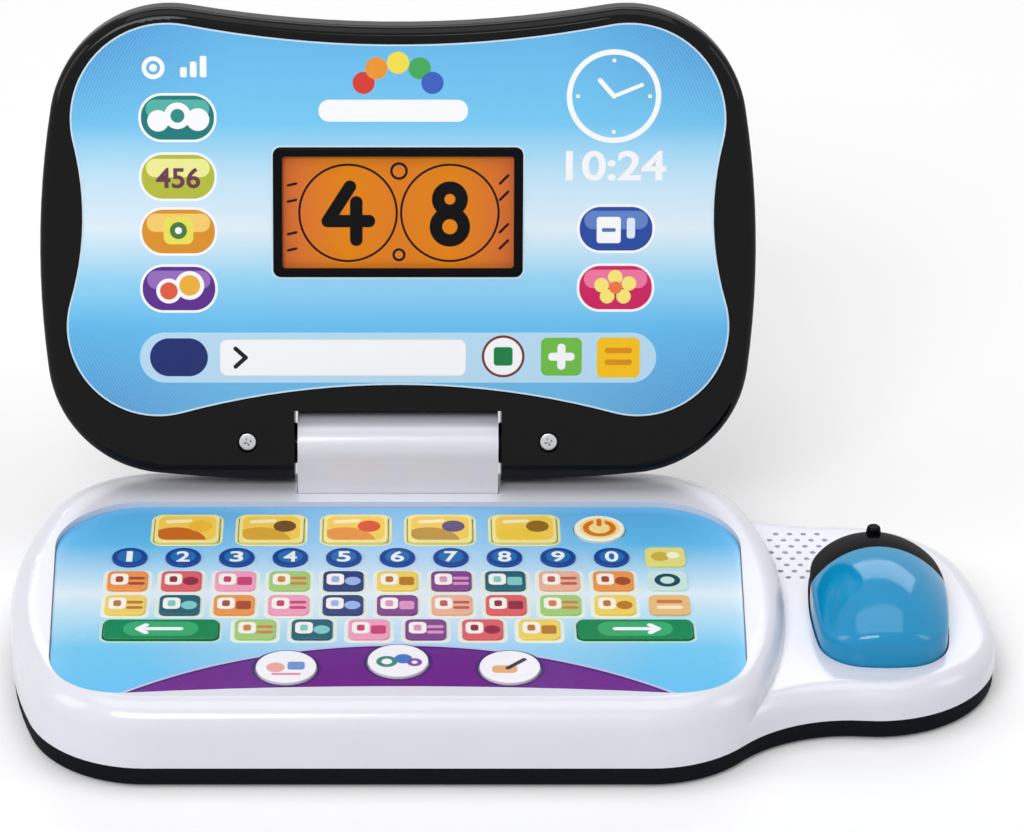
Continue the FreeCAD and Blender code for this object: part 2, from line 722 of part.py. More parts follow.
def batteries():
    """Two cells lying side by side, each with its contact nipple."""
    cells = []
    for side in (-1, 1):
        y = CELL_Y + side * CELL_PITCH / 2
        can = bar_x(y, cell_z(), CELL_R, -CELL_LONG / 2, CELL_LONG / 2)
        nipple = side * CELL_LONG / 2
        ends = sorted((nipple, nipple + side * NIPPLE_LONG))
        cells.append(can.fuse(bar_x(y, cell_z(), NIPPLE_R, *ends)).removeSplitter())
    return cells


def battery_contacts():
    """Four sprung contact plates at the ends of the cells."""
    half = battery_size()[0]
    plates = []
    for end in (-1, 1):
        for side in (-1, 1):
            y = CELL_Y + side * CELL_PITCH / 2
            x0, x1 = sorted((end * half, end * (half - CONTACT_T)))
            reach = CONTACT_WIDE / 2
            plate = box(x0, x1, y - reach, y + reach, cell_z() - reach, cell_z() + reach)
            tip = CELL_LONG / 2 + (NIPPLE_LONG if end == side else 0)
            s0, s1 = sorted((end * (half - CONTACT_T), end * tip))
            plates.append(plate.fuse(bar_x(y, cell_z(), CONTACT_SPRING_R, s0, s1)).removeSplitter())
    return plates


def hinge_bracket():
    """White tower that carries the hinge barrel, with a flange under the roof of the base."""
    half = BRACKET_WIDE / 2
    foot = RIM_Z - WALL
    barrel = bar_x(HINGE_Y, HINGE_Z, BARREL_R, -half, half)
    tower = box(-half, half, HINGE_Y - BARREL_R, HINGE_Y + BRACKET_BACK, foot, HINGE_Z)
    bracket = barrel.fuse(tower)
    bracket = bracket.cut(box(-half - 1, half + 1, HINGE_Y - 2 * BARREL_R, HINGE_Y + 2 * BARREL_R,
                              0, foot))
    flange = box(-half - BRACKET_FLANGE, half + BRACKET_FLANGE, HINGE_Y - BARREL_R - WALL, HINGE_Y,
                 foot - WALL, foot)
    bracket = bracket.fuse(flange)
    room = box(-half + 3 * WALL, half - 3 * WALL, HINGE_Y - BARREL_R + WALL,
               HINGE_Y + BRACKET_BACK - WALL, 0, HINGE_Z)
    vault = bar_x(HINGE_Y, HINGE_Z, BARREL_R - 2 * WALL, -half + 3 * WALL, half - 3 * WALL)
    bores = [bar_x(HINGE_Y, HINGE_Z, PIN_R + RUN_GAP, -half - 1, half + 1)]
    return bracket.cut([room, vault] + bores).removeSplitter()


def mouse_dome(shrink):
    """Upright wall of the mouse under an arched crown, made smaller all round for the inner wall."""
    block = slab(mouse_outline(shrink), MOUSE_SKIRT_Z, MOUSE_TOP_Z + 1)
    ring = Part.makeTorus(MOUSE_LONG_R - MOUSE_CROSS_R, MOUSE_CROSS_R - shrink,
                          V(MOUSE_X, MOUSE_Y, MOUSE_TOP_Z - MOUSE_LONG_R), V(1, 0, 0))
    body = block.common(ring)
    crown = max(body.Faces, key=lambda face: face.CenterOfMass.z)
    return body.makeFillet(MOUSE_EDGE_ROUND - shrink, crown.OuterWire.Edges)


def mouse_shell():
    """Whole hollow upper half of the mouse."""
    return mouse_dome(0).cut(mouse_dome(MOUSE_WALL))


def nose_space():
    """Everything beyond the curved seam between the cover and the nose."""
    top = MOUSE_TOP_Z + 1
    half = MOUSE_FRONT_X + MOUSE_LONG_R
    far = box(MOUSE_X - half, MOUSE_X + half, MOUSE_SEAM_Y - half, MOUSE_SEAM_Y + half, 0, top)
    return far.cut(disc(MOUSE_X, MOUSE_SEAM_Y - MOUSE_SEAM_R, MOUSE_SEAM_R, 0, top))


def mouse_cover():
    """Clear blue cover of the mouse."""
    return mouse_shell().cut(nose_space())


def mouse_nose():
    """Black nose of the mouse with its small lug."""
    nose = mouse_shell().common(nose_space())
    lug = Part.makeCone(MOUSE_LUG_R, MOUSE_LUG_TIP_R, MOUSE_LUG_TOP - WING_Z, V(MOUSE_X, MOUSE_LUG_Y, WING_Z))
    lug = soften(lug, MOUSE_LUG_ROUND, MOUSE_LUG_TOP)
    lug = lug.cut(mouse_dome(MOUSE_WALL))
    return nose.fuse(lug).removeSplitter()


def mouse_carrier():
    """Black plunger under the mouse: keeps it in its pocket and presses the switch."""
    top = MOUSE_SKIRT_Z
    flange = slab(mouse_outline(-MOUSE_FLANGE), top - MOUSE_FLANGE_T, top)
    key = slab(mouse_outline(MOUSE_WALL + RUN_GAP), top, top + CARRIER_KEY)
    plunger = disc(MOUSE_X, MOUSE_Y, SPRING_R - 2 * SPRING_WIRE, switch_top() + MOUSE_TRAVEL + FIT_GAP,
                   top - MOUSE_FLANGE_T)
    return flange.fuse([key, plunger]).removeSplitter()


def board_z():
    """Underside of the small switch board under the mouse."""
    return FOOT_HEIGHT + FLOOR + BOARD_STAND


def switch_top():
    """Top of the mouse switch's button."""
    return board_z() + BOARD_T + SWITCH_HIGH


def mouse_board():
    """Switch board on its stand."""
    return rounded_box(MOUSE_BOARD_WIDE, MOUSE_BOARD_DEEP, BOARD_CORNER, board_z(), board_z() + BOARD_T,
                       MOUSE_X, MOUSE_Y)


def mouse_switch():
    """Push switch pressed by the plunger."""
    low = board_z() + BOARD_T
    half = SWITCH_WIDE / 2
    top = switch_top() - SWITCH_BUTTON_HIGH
    body = box(MOUSE_X - half, MOUSE_X + half, MOUSE_Y - half, MOUSE_Y + half, low, top)
    return body.fuse(disc(MOUSE_X, MOUSE_Y, SWITCH_BUTTON_R, low, switch_top())).removeSplitter()


def mouse_spring():
    """Coil spring that lifts the mouse, drawn as the sleeve its turns fill."""
    low = board_z() + BOARD_T
    high = MOUSE_SKIRT_Z - MOUSE_FLANGE_T
    outer = disc(MOUSE_X, MOUSE_Y, SPRING_R, low, high)
    return outer.cut(disc(MOUSE_X, MOUSE_Y, SPRING_R - SPRING_WIRE, low, high))


def speaker_cup(foot_r, deep, top):
    """Funnel of the speaker, open to the sound holes."""
    return Part.makeCone(foot_r, CONE_R, deep, V(SPEAKER_X, SPEAKER_Y, top - deep))


def speaker_frame():
    """Steel basket with its magnet, under the sound holes."""
    top = WING_Z - WALL
    under = top - SPEAKER_RIM_T - BASKET_DEEP
    rim = disc(SPEAKER_X, SPEAKER_Y, SPEAKER_R, top - SPEAKER_RIM_T, top)
    bowl = Part.makeCone(MAGNET_R, BASKET_R, BASKET_DEEP, V(SPEAKER_X, SPEAKER_Y, under))
    magnet = disc(SPEAKER_X, SPEAKER_Y, MAGNET_R, under - MAGNET_T, under)
    return rim.fuse([bowl, magnet]).cut(speaker_cup(CONE_FOOT_R, CONE_DEEP, top)).removeSplitter()


def speaker_cone():
    """Paper cone seated in the basket."""
    top = WING_Z - WALL
    return speaker_cup(CONE_FOOT_R, CONE_DEEP, top).cut(speaker_cup(CONE_FOOT_R - CONE_T, CONE_DEEP - CONE_T, top))


def main_board():
    """Main circuit board on the front floor of the base."""
    low = FOOT_HEIGHT + FLOOR
    return rounded_box(MAIN_BOARD_WIDE, MAIN_BOARD_DEEP, BOARD_CORNER, low, low + BOARD_T,
                       MAIN_BOARD_X, MAIN_BOARD_Y)


def board_chips():
    """Sound chip under its blob and two larger parts on the main board."""
    low = FOOT_HEIGHT + FLOOR + BOARD_T
    x, y = MAIN_BOARD_X, MAIN_BOARD_Y
    blob = soften(disc(x, y, BLOB_R, low, low + BLOB_HIGH), BLOB_ROUND, low + BLOB_HIGH)
    chip = rounded_box(CHIP_WIDE, CHIP_DEEP, GLASS_CORNER, low, low + CHIP_HIGH, x + CHIP_X, y + CHIP_Y)
    return [blob, chip, disc(x + CAN_X, y + CAN_Y, CAN_R, low, low + CAN_HIGH)]


def lid_notch():
    """Gap in the chin for the bracket."""
    half = BRACKET_WIDE / 2 + EAR_GAP
    return box(-half, half, -LID_LOW_R, NOTCH_TOP, -LID_HALF - 1, LID_HALF + 1)


def chin_sweep():
    """What the chin must leave free below the hinge axis to swing over the rim of the base."""
    half = LID_LOW_X + LID_LOW_R
    below = box(-half, half, -2 * CHIN_R, 0, -2 * CHIN_R, 2 * CHIN_R)
    return below.cut(bar_x(0, 0, CHIN_R, -half, half))


def pin_block(low, high):
    """Solid blocks in the chin that clamp the hinge pins between two heights."""
    start = BRACKET_WIDE / 2 + EAR_GAP
    blocks = []
    for side in (-1, 1):
        x0, x1 = sorted((side * start, side * PIN_OUT))
        blocks.append(box(x0, x1, -PIN_BLOCK / 2, PIN_BLOCK / 2, low, high))
    return blocks


def screw_column(radius, low, high):
    """Columns round the two chin screws."""
    return [disc(side * CHIN_SCREW_X, CHIN_SCREW_Y, radius, low, high) for side in (-1, 1)]


def pin_bores():
    """Seats of the hinge pins in the chin."""
    start = BRACKET_WIDE / 2
    return [bar_x(0, 0, PIN_R, -PIN_OUT, -start), bar_x(0, 0, PIN_R, start, PIN_OUT)]


def notch_cheeks(low, high):
    """Walls round the gap in the chin."""
    half = BRACKET_WIDE / 2 + EAR_GAP
    cheeks = box(-half - WALL, half + WALL, -LID_LOW_R, NOTCH_TOP + WALL, low, high)
    return cheeks.common(slab(lid_outline(WALL / 2), low, high))


def lid_front_frame():
    """Black front frame of the lid with the seat of the screen panel."""
    face = LID_HALF
    frame = soften(slab(lid_outline(), LID_SEAM, face), LID_FRONT_ROUND, face)
    seat = face - SCREEN_SINK - SCREEN_T
    room = soften(slab(lid_outline(WALL), LID_SEAM - 1, seat - WALL), LID_FRONT_ROUND - WALL, seat - WALL)
    frame = frame.cut(room)
    frame = frame.fuse(pin_block(LID_SEAM, seat) + screw_column(POST_R, LID_SEAM, seat)
                       + [notch_cheeks(LID_SEAM, seat)])
    recess = slab(screen_outline(-FIT_GAP), seat, face + 1)
    opening = rounded_box(LCD_WIDE + 2 * FIT_GAP, LCD_HIGH + 2 * FIT_GAP, LCD_CORNER, 0, face, 0, LCD_Y)
    holes = screw_column(SCREW_R + FIT_GAP, 0, face + 1)
    heads = screw_column(SCREW_HEAD_R + FIT_GAP, face - CHIN_SCREW_SINK - SCREW_HEAD_T, face + 1)
    frame = frame.cut([recess, opening, lid_notch(), chin_sweep()] + pin_bores() + holes + heads)
    return frame.removeSplitter()


def lid_ribs(low, high):
    """Frame of stiffening ribs inside the rear cover."""
    across = [box(-LID_RIB_X, LID_RIB_X, y - RIB_T / 2, y + RIB_T / 2, low, high)
              for y in (LID_RIB_LOW, LCD_Y, LID_RIB_TOP)]
    upright = [box(x - RIB_T / 2, x + RIB_T / 2, LID_RIB_LOW, LID_RIB_TOP, low, high)
               for x in (-LID_RIB_X, LID_RIB_X)]
    return across + upright


def lid_back_shell():
    """Black rear cover of the lid."""
    back = -LID_HALF
    shell = soften(slab(lid_outline(), back, LID_SEAM), LID_BACK_ROUND, back)
    room = slab(lid_outline(WALL), back + WALL, LID_SEAM + 1)
    room = soften(room, LID_BACK_ROUND - WALL, back + WALL)
    shell = shell.cut(room)
    shell = shell.fuse(pin_block(back + WALL / 2, LID_SEAM)
                       + screw_column(POST_R, back + WALL / 2, LID_SEAM)
                       + [notch_cheeks(back + WALL / 2, LID_SEAM)])
    shell = shell.fuse(lid_ribs(back + WALL / 2, back + WALL + RIB_HIGH))
    pilots = screw_column(SCREW_R, back + 2 * WALL, LID_SEAM + 1)
    return shell.cut([lid_notch(), chin_sweep()] + pin_bores() + pilots).removeSplitter()


def screen_panel():
    """Printed screen panel, a little below the face of the frame."""
    top = LID_HALF - SCREEN_SINK
    opening = rounded_box(LCD_WIDE + 2 * FIT_GAP, LCD_HIGH + 2 * FIT_GAP, LCD_CORNER, 0, top + 1, 0, LCD_Y)
    return slab(screen_outline(), top - SCREEN_T, top).cut(opening)


def lcd_bezel():
    """Black surround of the picture window, held by a flange behind the frame."""
    top = LID_HALF + LCD_PROUD
    behind = LID_HALF - SCREEN_SINK - SCREEN_T - WALL
    surround = rounded_box(LCD_WIDE, LCD_HIGH, LCD_CORNER, behind, top, 0, LCD_Y)
    surround = soften(surround, LCD_EDGE, top)
    flange = rounded_box(LCD_WIDE + 2 * LCD_FLANGE, LCD_HIGH + 2 * LCD_FLANGE, LCD_CORNER,
                         behind - LCD_FLANGE_T, behind, 0, LCD_Y)
    opening = rounded_box(LCD_WIDE - 2 * LCD_LIP, LCD_HIGH - 2 * LCD_LIP, OPENING_CORNER, 0, top + 1, 0, LCD_Y)
    stack = rounded_box(lcd_size()[0] + 2 * RUN_GAP, lcd_size()[1] + 2 * RUN_GAP, GLASS_CORNER, 0, window_z()[1],
                        0, LCD_Y)
    return surround.fuse(flange).cut([opening, stack]).removeSplitter()


def lcd_size():
    """Width and height of the glass stack behind the surround's lip."""
    return LCD_WIDE - LCD_LIP, LCD_HIGH - LCD_LIP


def window_z():
    """Faces of the clear window."""
    top = LID_HALF + LCD_PROUD - WINDOW_SINK
    return top - WINDOW_T, top


def lcd_layer(low, high):
    """One plate of the picture stack."""
    return rounded_box(*lcd_size(), GLASS_CORNER, low, high, 0, LCD_Y)


def lcd_window():
    """Clear window."""
    return lcd_layer(*window_z())


def lcd_cell():
    """Liquid crystal glass."""
    return lcd_layer(window_z()[0] - LCD_CELL, window_z()[0])


def lcd_backlight():
    """Orange light guide behind the glass."""
    return lcd_layer(window_z()[0] - LCD_STACK, window_z()[0] - LCD_CELL)


def display_board():
    """Circuit board behind the picture stack."""
    top = window_z()[0] - LCD_STACK
    return rounded_box(LCD_WIDE + 2 * DISPLAY_BOARD_SIDE, LCD_HIGH + 2 * DISPLAY_BOARD_END, BOARD_CORNER,
                       top - BOARD_T, top, 0, LCD_Y)


def hinge_pins():
    """Two steel hinge pins; both are hollow, and the right one takes the lead."""
    pins = []
    for x0, x1 in ((-PIN_OUT, -PIN_IN), (PIN_IN, PIN_OUT)):
        pins.append(bar_x(0, 0, PIN_R, x0, x1).cut(bar_x(0, 0, PIN_BORE_R, x0, x1)))
    return pins


def hinge_washers():
    """Friction washers between the bracket and the ears of the lid."""
    washers = []
    start = BRACKET_WIDE / 2 + EAR_GAP - WASHER_T
    for x0 in (-start - WASHER_T, start):
        ring = bar_x(0, 0, WASHER_R, x0, x0 + WASHER_T)
        washers.append(ring.cut(bar_x(0, 0, PIN_R + RUN_GAP, x0 - 1, x0 + WASHER_T + 1)))
    return washers


def lid_screws():
    """Two cross-head screws in the chin."""
    low = LID_HALF - CHIN_SCREW_SINK - SCREW_HEAD_T
    screws = []
    for head, shank in zip(screw_column(SCREW_HEAD_R, low, low + SCREW_HEAD_T),
                           screw_column(SCREW_R, -LID_HALF + 2 * WALL, low)):
        screws.append(head.fuse(shank).removeSplitter())
    return screws


def display_lead_lid():
    """Lead from the display board down to the hinge axis and into the hollow pin."""
    under = window_z()[0] - LCD_STACK - BOARD_T - LEAD_R
    edge = LCD_Y - LCD_HIGH / 2
    x = PIN_OUT + 3
    points = [V(x, edge, under), V(x, edge - 12, under), V(x, edge - 30, 0), V(x, 0, 0), V(PIN_IN, 0, 0)]
    return tube(points, LEAD_R, LEAD_BEND)


def display_lead_base():
    """Lead from the hinge axis down through the bracket and round the battery box to the main board."""
    floor = FOOT_HEIGHT + FLOOR + BOARD_T + 2 * LEAD_R
    high = floor + LEAD_LIFT
    points = [V(PIN_IN - FIT_GAP, HINGE_Y, HINGE_Z), V(LEAD_DOWN_X, HINGE_Y, HINGE_Z),
              V(LEAD_DOWN_X, HINGE_Y, high), V(LEAD_SIDE_X, HINGE_Y - 10, high),
              V(LEAD_SIDE_X, -12, high), V(LEAD_SIDE_X, -24, floor)]
    return tube(points, LEAD_R, LEAD_BEND)


def raised(shape):
    """A lid piece, tilted up about the hinge axis to where the lid stands open."""
    tilt = FreeCAD.Placement(V(0, HINGE_Y, HINGE_Z), FreeCAD.Rotation(V(1, 0, 0), 90 - LID_TILT))
    shape.Placement = tilt.multiply(shape.Placement)
    return shape


def as_shape(made):
    """One solid, or a group of separate solids in one shape."""
    return Part.makeCompound(made) if isinstance(made, list) else made


def base_pieces():
    """Everything that stays with the base."""
    pieces = {
        "base_top_shell": base_top_shell(), "base_bottom_shell": base_bottom_shell(),
        "hinge_bracket": hinge_bracket(), "keypad_panel": keypad_panel(),
        "number_keys": number_keys(), "side_keys": side_keys(),
        "letter_keys_upper": row_keys(FIRST_KEY_X, KEY_PITCH, ROW_KEYS, UPPER_ROW_Y),
        "letter_keys_middle": row_keys(FIRST_KEY_X, KEY_PITCH, ROW_KEYS, UPPER_ROW_Y - KEY_ROW),
        "letter_keys_lower": row_keys(LOWER_KEY_X, LOWER_KEY_PITCH, LOWER_KEYS, UPPER_ROW_Y - 2 * KEY_ROW),
        "key_dome_mat": key_dome_mat(), "keypad_board": keypad_board(), "main_board": main_board(),
        "board_chips": board_chips(), "speaker_frame": speaker_frame(), "speaker_cone": speaker_cone(),
        "batteries": batteries(), "battery_contacts": battery_contacts(), "battery_door": battery_door(),
        "battery_door_screw": battery_door_screw(), "base_screws": base_screws(),
        "rubber_feet": rubber_feet(), "mouse_board": mouse_board(), "mouse_switch": mouse_switch(),
        "mouse_spring": mouse_spring(), "mouse_cover": mouse_cover(), "mouse_nose": mouse_nose(),
        "mouse_carrier": mouse_carrier(), "display_lead_base": display_lead_base(),
    }
    for place in key_places():
        pieces[place[0]] = travelling_key(place)
    return pieces


def lid_pieces():
    """Everything that turns with the lid, still lying flat."""
    return {
        "lid_front_frame": lid_front_frame(), "lid_back_shell": lid_back_shell(),
        "screen_panel": screen_panel(), "lcd_bezel": lcd_bezel(), "lcd_window": lcd_window(),
        "lcd_cell": lcd_cell(), "lcd_backlight": lcd_backlight(), "display_board": display_board(),
        "hinge_pins": hinge_pins(), "hinge_washers": hinge_washers(), "lid_screws": lid_screws(),
        "display_lead_lid": display_lead_lid(),
    }


def main():
    """Build every piece, put the origin under the middle of the whole, and write the files."""
    os.makedirs("parts", exist_ok=True)
    pieces = {name: as_shape(made) for name, made in base_pieces().items()}
    for name, made in lid_pieces().items():
        pieces[name] = raised(as_shape(made))
    whole = Part.makeCompound(list(pieces.values())).optimalBoundingBox(False)
    shift = V(-whole.Center.x, -whole.Center.y, -whole.ZMin)
    for name, shape in pieces.items():
        shape.translate(shift)
        shape.exportStep(f"parts/{name}.step")
    print("origin moved by", [round(value, 3) for value in shift])
    print("size", [round(value, 2) for value in (whole.XLength, whole.YLength, whole.ZLength)])


main()
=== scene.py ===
import json
import math

import bpy
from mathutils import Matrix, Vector


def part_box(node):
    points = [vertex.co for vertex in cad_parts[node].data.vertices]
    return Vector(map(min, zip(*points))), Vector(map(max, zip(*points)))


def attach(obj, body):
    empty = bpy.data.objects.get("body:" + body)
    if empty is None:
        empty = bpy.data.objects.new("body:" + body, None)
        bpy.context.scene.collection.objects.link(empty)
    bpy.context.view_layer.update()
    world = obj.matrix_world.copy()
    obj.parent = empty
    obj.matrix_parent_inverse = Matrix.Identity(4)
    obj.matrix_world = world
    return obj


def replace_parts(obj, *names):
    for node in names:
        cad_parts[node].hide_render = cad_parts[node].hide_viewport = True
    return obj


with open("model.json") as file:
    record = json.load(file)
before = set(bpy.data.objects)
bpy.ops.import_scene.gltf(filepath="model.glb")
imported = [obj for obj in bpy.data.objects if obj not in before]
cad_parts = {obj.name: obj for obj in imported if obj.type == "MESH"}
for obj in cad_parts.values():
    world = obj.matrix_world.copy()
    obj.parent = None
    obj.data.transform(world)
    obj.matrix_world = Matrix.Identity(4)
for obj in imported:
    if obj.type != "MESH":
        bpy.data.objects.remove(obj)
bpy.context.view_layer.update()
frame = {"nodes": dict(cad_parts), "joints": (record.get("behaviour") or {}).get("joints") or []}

MM = 0.001

# Places taken from the frame, in metres
deck_low, deck_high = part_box("keypad_panel")
upper_low, upper_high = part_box("letter_keys_upper")
hinge = next(joint for joint in frame["joints"] if joint["name"] == "lid_hinge")
hinge_axis = Vector(hinge["pos_m"])
lid_turn = math.radians(180 - hinge["range_deg"][1])
deck_middle = Vector(((deck_low.x + deck_high.x) / 2, (upper_low.y + upper_high.y) / 2, deck_high.z))
side_low, side_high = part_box("side_keys")
key_wide = (side_high.x - side_low.x) / MM
window_low, window_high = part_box("lcd_window")

# Display window on the lid, in millimetres from the hinge axis up the lid
up_lid = Vector((0, math.cos(lid_turn), math.sin(lid_turn)))
LCD_V = ((window_low + window_high) / 2 - hinge_axis).dot(up_lid) / MM
out_of_lid = Vector((0, -math.sin(lid_turn), math.cos(lid_turn)))

# Screws with a cross recess, in millimetres
SCREW_HEAD_R = 3.0
SCREW_R = 1.5
SCREW_HEAD_T = 1.8
DOOR_HEAD_T = 0.85
RECESS_LONG = 3.6
RECESS_WIDE = 0.8

# Pale line round the screen panel and the thickness of a layer of ink, in millimetres
EDGE_LINE = 0.55
INK_T = 0.06

# Purple field of the deck, in millimetres from the middle of the letter keys
PURPLE_MIDDLE = (0, -175.5)
PURPLE_R = 137.5

# Number of keys, first key and pitch of each row of letter keys, in millimetres from the deck's middle
KEY_COUNT = {"letter_keys_upper": 10, "letter_keys_middle": 10, "letter_keys_lower": 6}
first_key = {}
pitch_of = {}
for row, count in KEY_COUNT.items():
    low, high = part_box(row)
    level = (low.y + high.y) / 2
    first_key[row] = ((low.x - deck_middle.x) / MM + key_wide / 2, (level - deck_middle.y) / MM)
    pitch_of[row] = ((high.x - low.x) / MM - key_wide) / (count - 1)


def ink(red, green, blue):
    """A printed colour given in 0 to 255 steps, as the linear colour that a shader takes."""
    steps = [value / 255 for value in (red, green, blue)]
    linear = [s / 12.92 if s <= 0.04045 else ((s + 0.055) / 1.055) ** 2.4 for s in steps]
    return (*linear, 1.0)


WHITE = ink(250, 251, 253)
INK_BLACK = ink(16, 16, 18)
PALE_LINE = ink(206, 230, 246)

# Grounds and marks of the letter keys, which take them in turn
KEY_INKS = [(ink(240, 150, 70), ink(170, 70, 30)), (ink(226, 96, 100), ink(150, 36, 60)),
            (ink(244, 160, 190), ink(206, 60, 110)), (ink(168, 206, 120), ink(214, 130, 60)),
            (ink(44, 62, 120), ink(160, 180, 236)), (ink(244, 212, 96), ink(190, 120, 30)),
            (ink(132, 66, 140), ink(226, 150, 196)), (ink(38, 96, 112), ink(130, 204, 200)),
            (ink(240, 178, 150), ink(200, 90, 80))]


class Value:
    """A value that changes over a surface: a node's socket with Python's operators."""

    def __init__(self, paint, socket):
        self.paint = paint
        self.socket = socket

    def __add__(self, other):
        return self.paint.math("ADD", self, other)

    __radd__ = __add__

    def __sub__(self, other):
        return self.paint.math("SUBTRACT", self, other)

    def __rsub__(self, other):
        return self.paint.math("SUBTRACT", other, self)

    def __mul__(self, other):
        return self.paint.math("MULTIPLY", self, other)

    __rmul__ = __mul__

    def __truediv__(self, other):
        return self.paint.math("DIVIDE", self, other)

    def __or__(self, other):
        """The nearer of two shapes: their union."""
        return self.paint.math("MINIMUM", self, other)

    def __and__(self, other):
        """What two shapes have in common."""
        return self.paint.math("MAXIMUM", self, other)

    def __abs__(self):
        return self.paint.math("ABSOLUTE", self)

    def cover(self, soft=0.1):
        """1 inside a shape and 0 outside it, for a distance in millimetres."""
        return self.paint.math("MULTIPLY_ADD", self, -1 / soft, 0.5, clamp=True)


class Paint:
    """The nodes of one finish or of the backdrop, and the shader whose sockets they vary."""

    def __init__(self, owner, shader="Principled BSDF"):
        owner.use_nodes = True
        self.material = owner
        self.tree = owner.node_tree
        self.shader = self.tree.nodes[shader]

    def node(self, kind, settings, inputs):
        """A new node with its settings, and with its sockets set or linked."""
        node = self.tree.nodes.new(kind)
        for setting, value in settings.items():
            if setting == "stops":
                ramp = node.color_ramp
                while len(ramp.elements) < len(value):
                    ramp.elements.new(1.0)
                for element, (place, colour) in zip(ramp.elements, value):
                    element.position = place
                    element.color = colour
            elif setting == "steps":
                node.color_ramp.interpolation = value
            else:
                setattr(node, setting, value)
        for socket, value in inputs.items():
            if isinstance(value, Value):
                self.tree.links.new(value.socket, node.inputs[socket])
            else:
                node.inputs[socket].default_value = value
        return node

    def math(self, operation, *terms, clamp=False):
        settings = {"operation": operation, "use_clamp": clamp}
        node = self.node("ShaderNodeMath", settings, dict(enumerate(terms)))
        return Value(self, node.outputs[0])

    def vector(self, operation, *terms):
        node = self.node("ShaderNodeVectorMath", {"operation": operation}, dict(enumerate(terms)))
        single = operation in ("LENGTH", "DISTANCE", "DOT_PRODUCT")
        return Value(self, node.outputs["Value" if single else "Vector"])

    def mix(self, below, above, mask):
        """One colour over another."""
        node = self.node("ShaderNodeMix", {"data_type": "RGBA"}, {0: mask, 6: below, 7: above})
        return Value(self, node.outputs[2])

    def ramp(self, value, stops, steps="LINEAR"):
        """A colour for each place between 0 and 1."""
        node = self.node("ShaderNodeValToRGB", {"stops": stops, "steps": steps}, {0: value})
        return Value(self, node.outputs[0])

    def place(self, turn, origin):
        """Millimetres from origin on this piece, turned about x."""
        where = self.node("ShaderNodeTexCoord", {}, {}).outputs["Object"]
        settled = Vector(origin) / MM
        y = settled.y * math.cos(turn) - settled.z * math.sin(turn)
        z = settled.y * math.sin(turn) + settled.z * math.cos(turn)
        node = self.node("ShaderNodeMapping", {"vector_type": "POINT"}, {
            "Vector": Value(self, where), "Location": (-settled.x, -y, -z),
            "Rotation": (turn, 0, 0), "Scale": (1 / MM, 1 / MM, 1 / MM)})
        return Value(self, node.outputs[0])

    def flat(self, spot):
        """The same place with its height left out, and its x and y."""
        parts = self.node("ShaderNodeSeparateXYZ", {}, {0: spot}).outputs
        x, y = Value(self, parts[0]), Value(self, parts[1])
        return self.point(x, y), x, y

    def repeat(self, along, pitch):
        """Distance from the nearest of a row of places that are one pitch apart."""
        return self.math("WRAP", along, pitch / 2, -pitch / 2)

    def point(self, x, y):
        return Value(self, self.node("ShaderNodeCombineXYZ", {}, {0: x, 1: y}).outputs[0])

    def disc(self, spot, centre, radius):
        return self.vector("DISTANCE", spot, (*centre, 0)) - radius

    def ring(self, spot, centre, radius, half_line):
        return abs(self.disc(spot, centre, radius)) - half_line

    def pill(self, spot, centre, size, corner):
        """A rectangle with round corners."""
        away = self.vector("ABSOLUTE", self.vector("SUBTRACT", spot, (*centre, 0)))
        past = self.vector("SUBTRACT", away, (size[0] / 2 - corner, size[1] / 2 - corner, 0))
        outside = self.vector("LENGTH", self.vector("MAXIMUM", past, (0, 0, 0)))
        return outside - corner

    def stroke(self, spot, start, end, half_line):
        """A line with round ends."""
        run = (end[0] - start[0], end[1] - start[1], 0)
        length = run[0] ** 2 + run[1] ** 2
        from_start = self.vector("SUBTRACT", spot, (*start, 0))
        along = self.vector("DOT_PRODUCT", from_start, tuple(part / length for part in run))
        held = self.math("ADD", along, 0.0, clamp=True)
        on_line = self.vector("MULTIPLY", (*run,), self.point(held, held))
        return self.vector("DISTANCE", from_start, on_line) - half_line

    def noise(self, size, detail=2.0):
        """Uneven grey, about 0.5 all over, with spots of a size in millimetres."""
        where = self.node("ShaderNodeTexCoord", {}, {}).outputs["Object"]
        cloud = self.node("ShaderNodeTexNoise", {}, {
            "Vector": Value(self, where), "Scale": 1 / (size * MM), "Detail": detail})
        return Value(self, cloud.outputs["Fac"])

    def into(self, value, socket):
        """Links a value that changes over the surface to a socket of the shader."""
        self.tree.links.new(value.socket, self.shader.inputs[socket])

    def grain(self, rough, size, depth, wear=0.3):
        """Moulded skin: roughness that wanders a little and a fine relief, depth in millimetres."""
        self.into(self.noise(14.0) * (wear * rough) + rough * (1 - wear / 2), "Roughness")
        bump = self.node("ShaderNodeBump", {}, {
            "Height": self.noise(size), "Distance": depth * MM, "Strength": 1.0})
        self.into(Value(self, bump.outputs[0]), "Normal")

    def coat(self, colour):
        """Prints the colour on the surface."""
        self.into(colour, "Base Color")
        return self.material

    def backdrop_seen(self):
        """1 for the rays that see the backdrop itself: from the camera, or by way of gloss or glass."""
        rays = self.node("ShaderNodeLightPath", {}, {}).outputs
        kinds = ("Is Camera Ray", "Is Glossy Ray", "Is Transmission Ray")
        straight, gloss, glass = (Value(self, rays[kind]) for kind in kinds)
        return straight & gloss & glass


def finish(name, colour=WHITE, **sockets):
    """A new material with its even values on the shader's own sockets."""
    paint = Paint(bpy.data.materials.new(name))
    paint.shader.inputs["Base Color"].default_value = colour
    for socket, value in sockets.items():
        paint.shader.inputs[socket.replace("_", " ")].default_value = value
    return paint


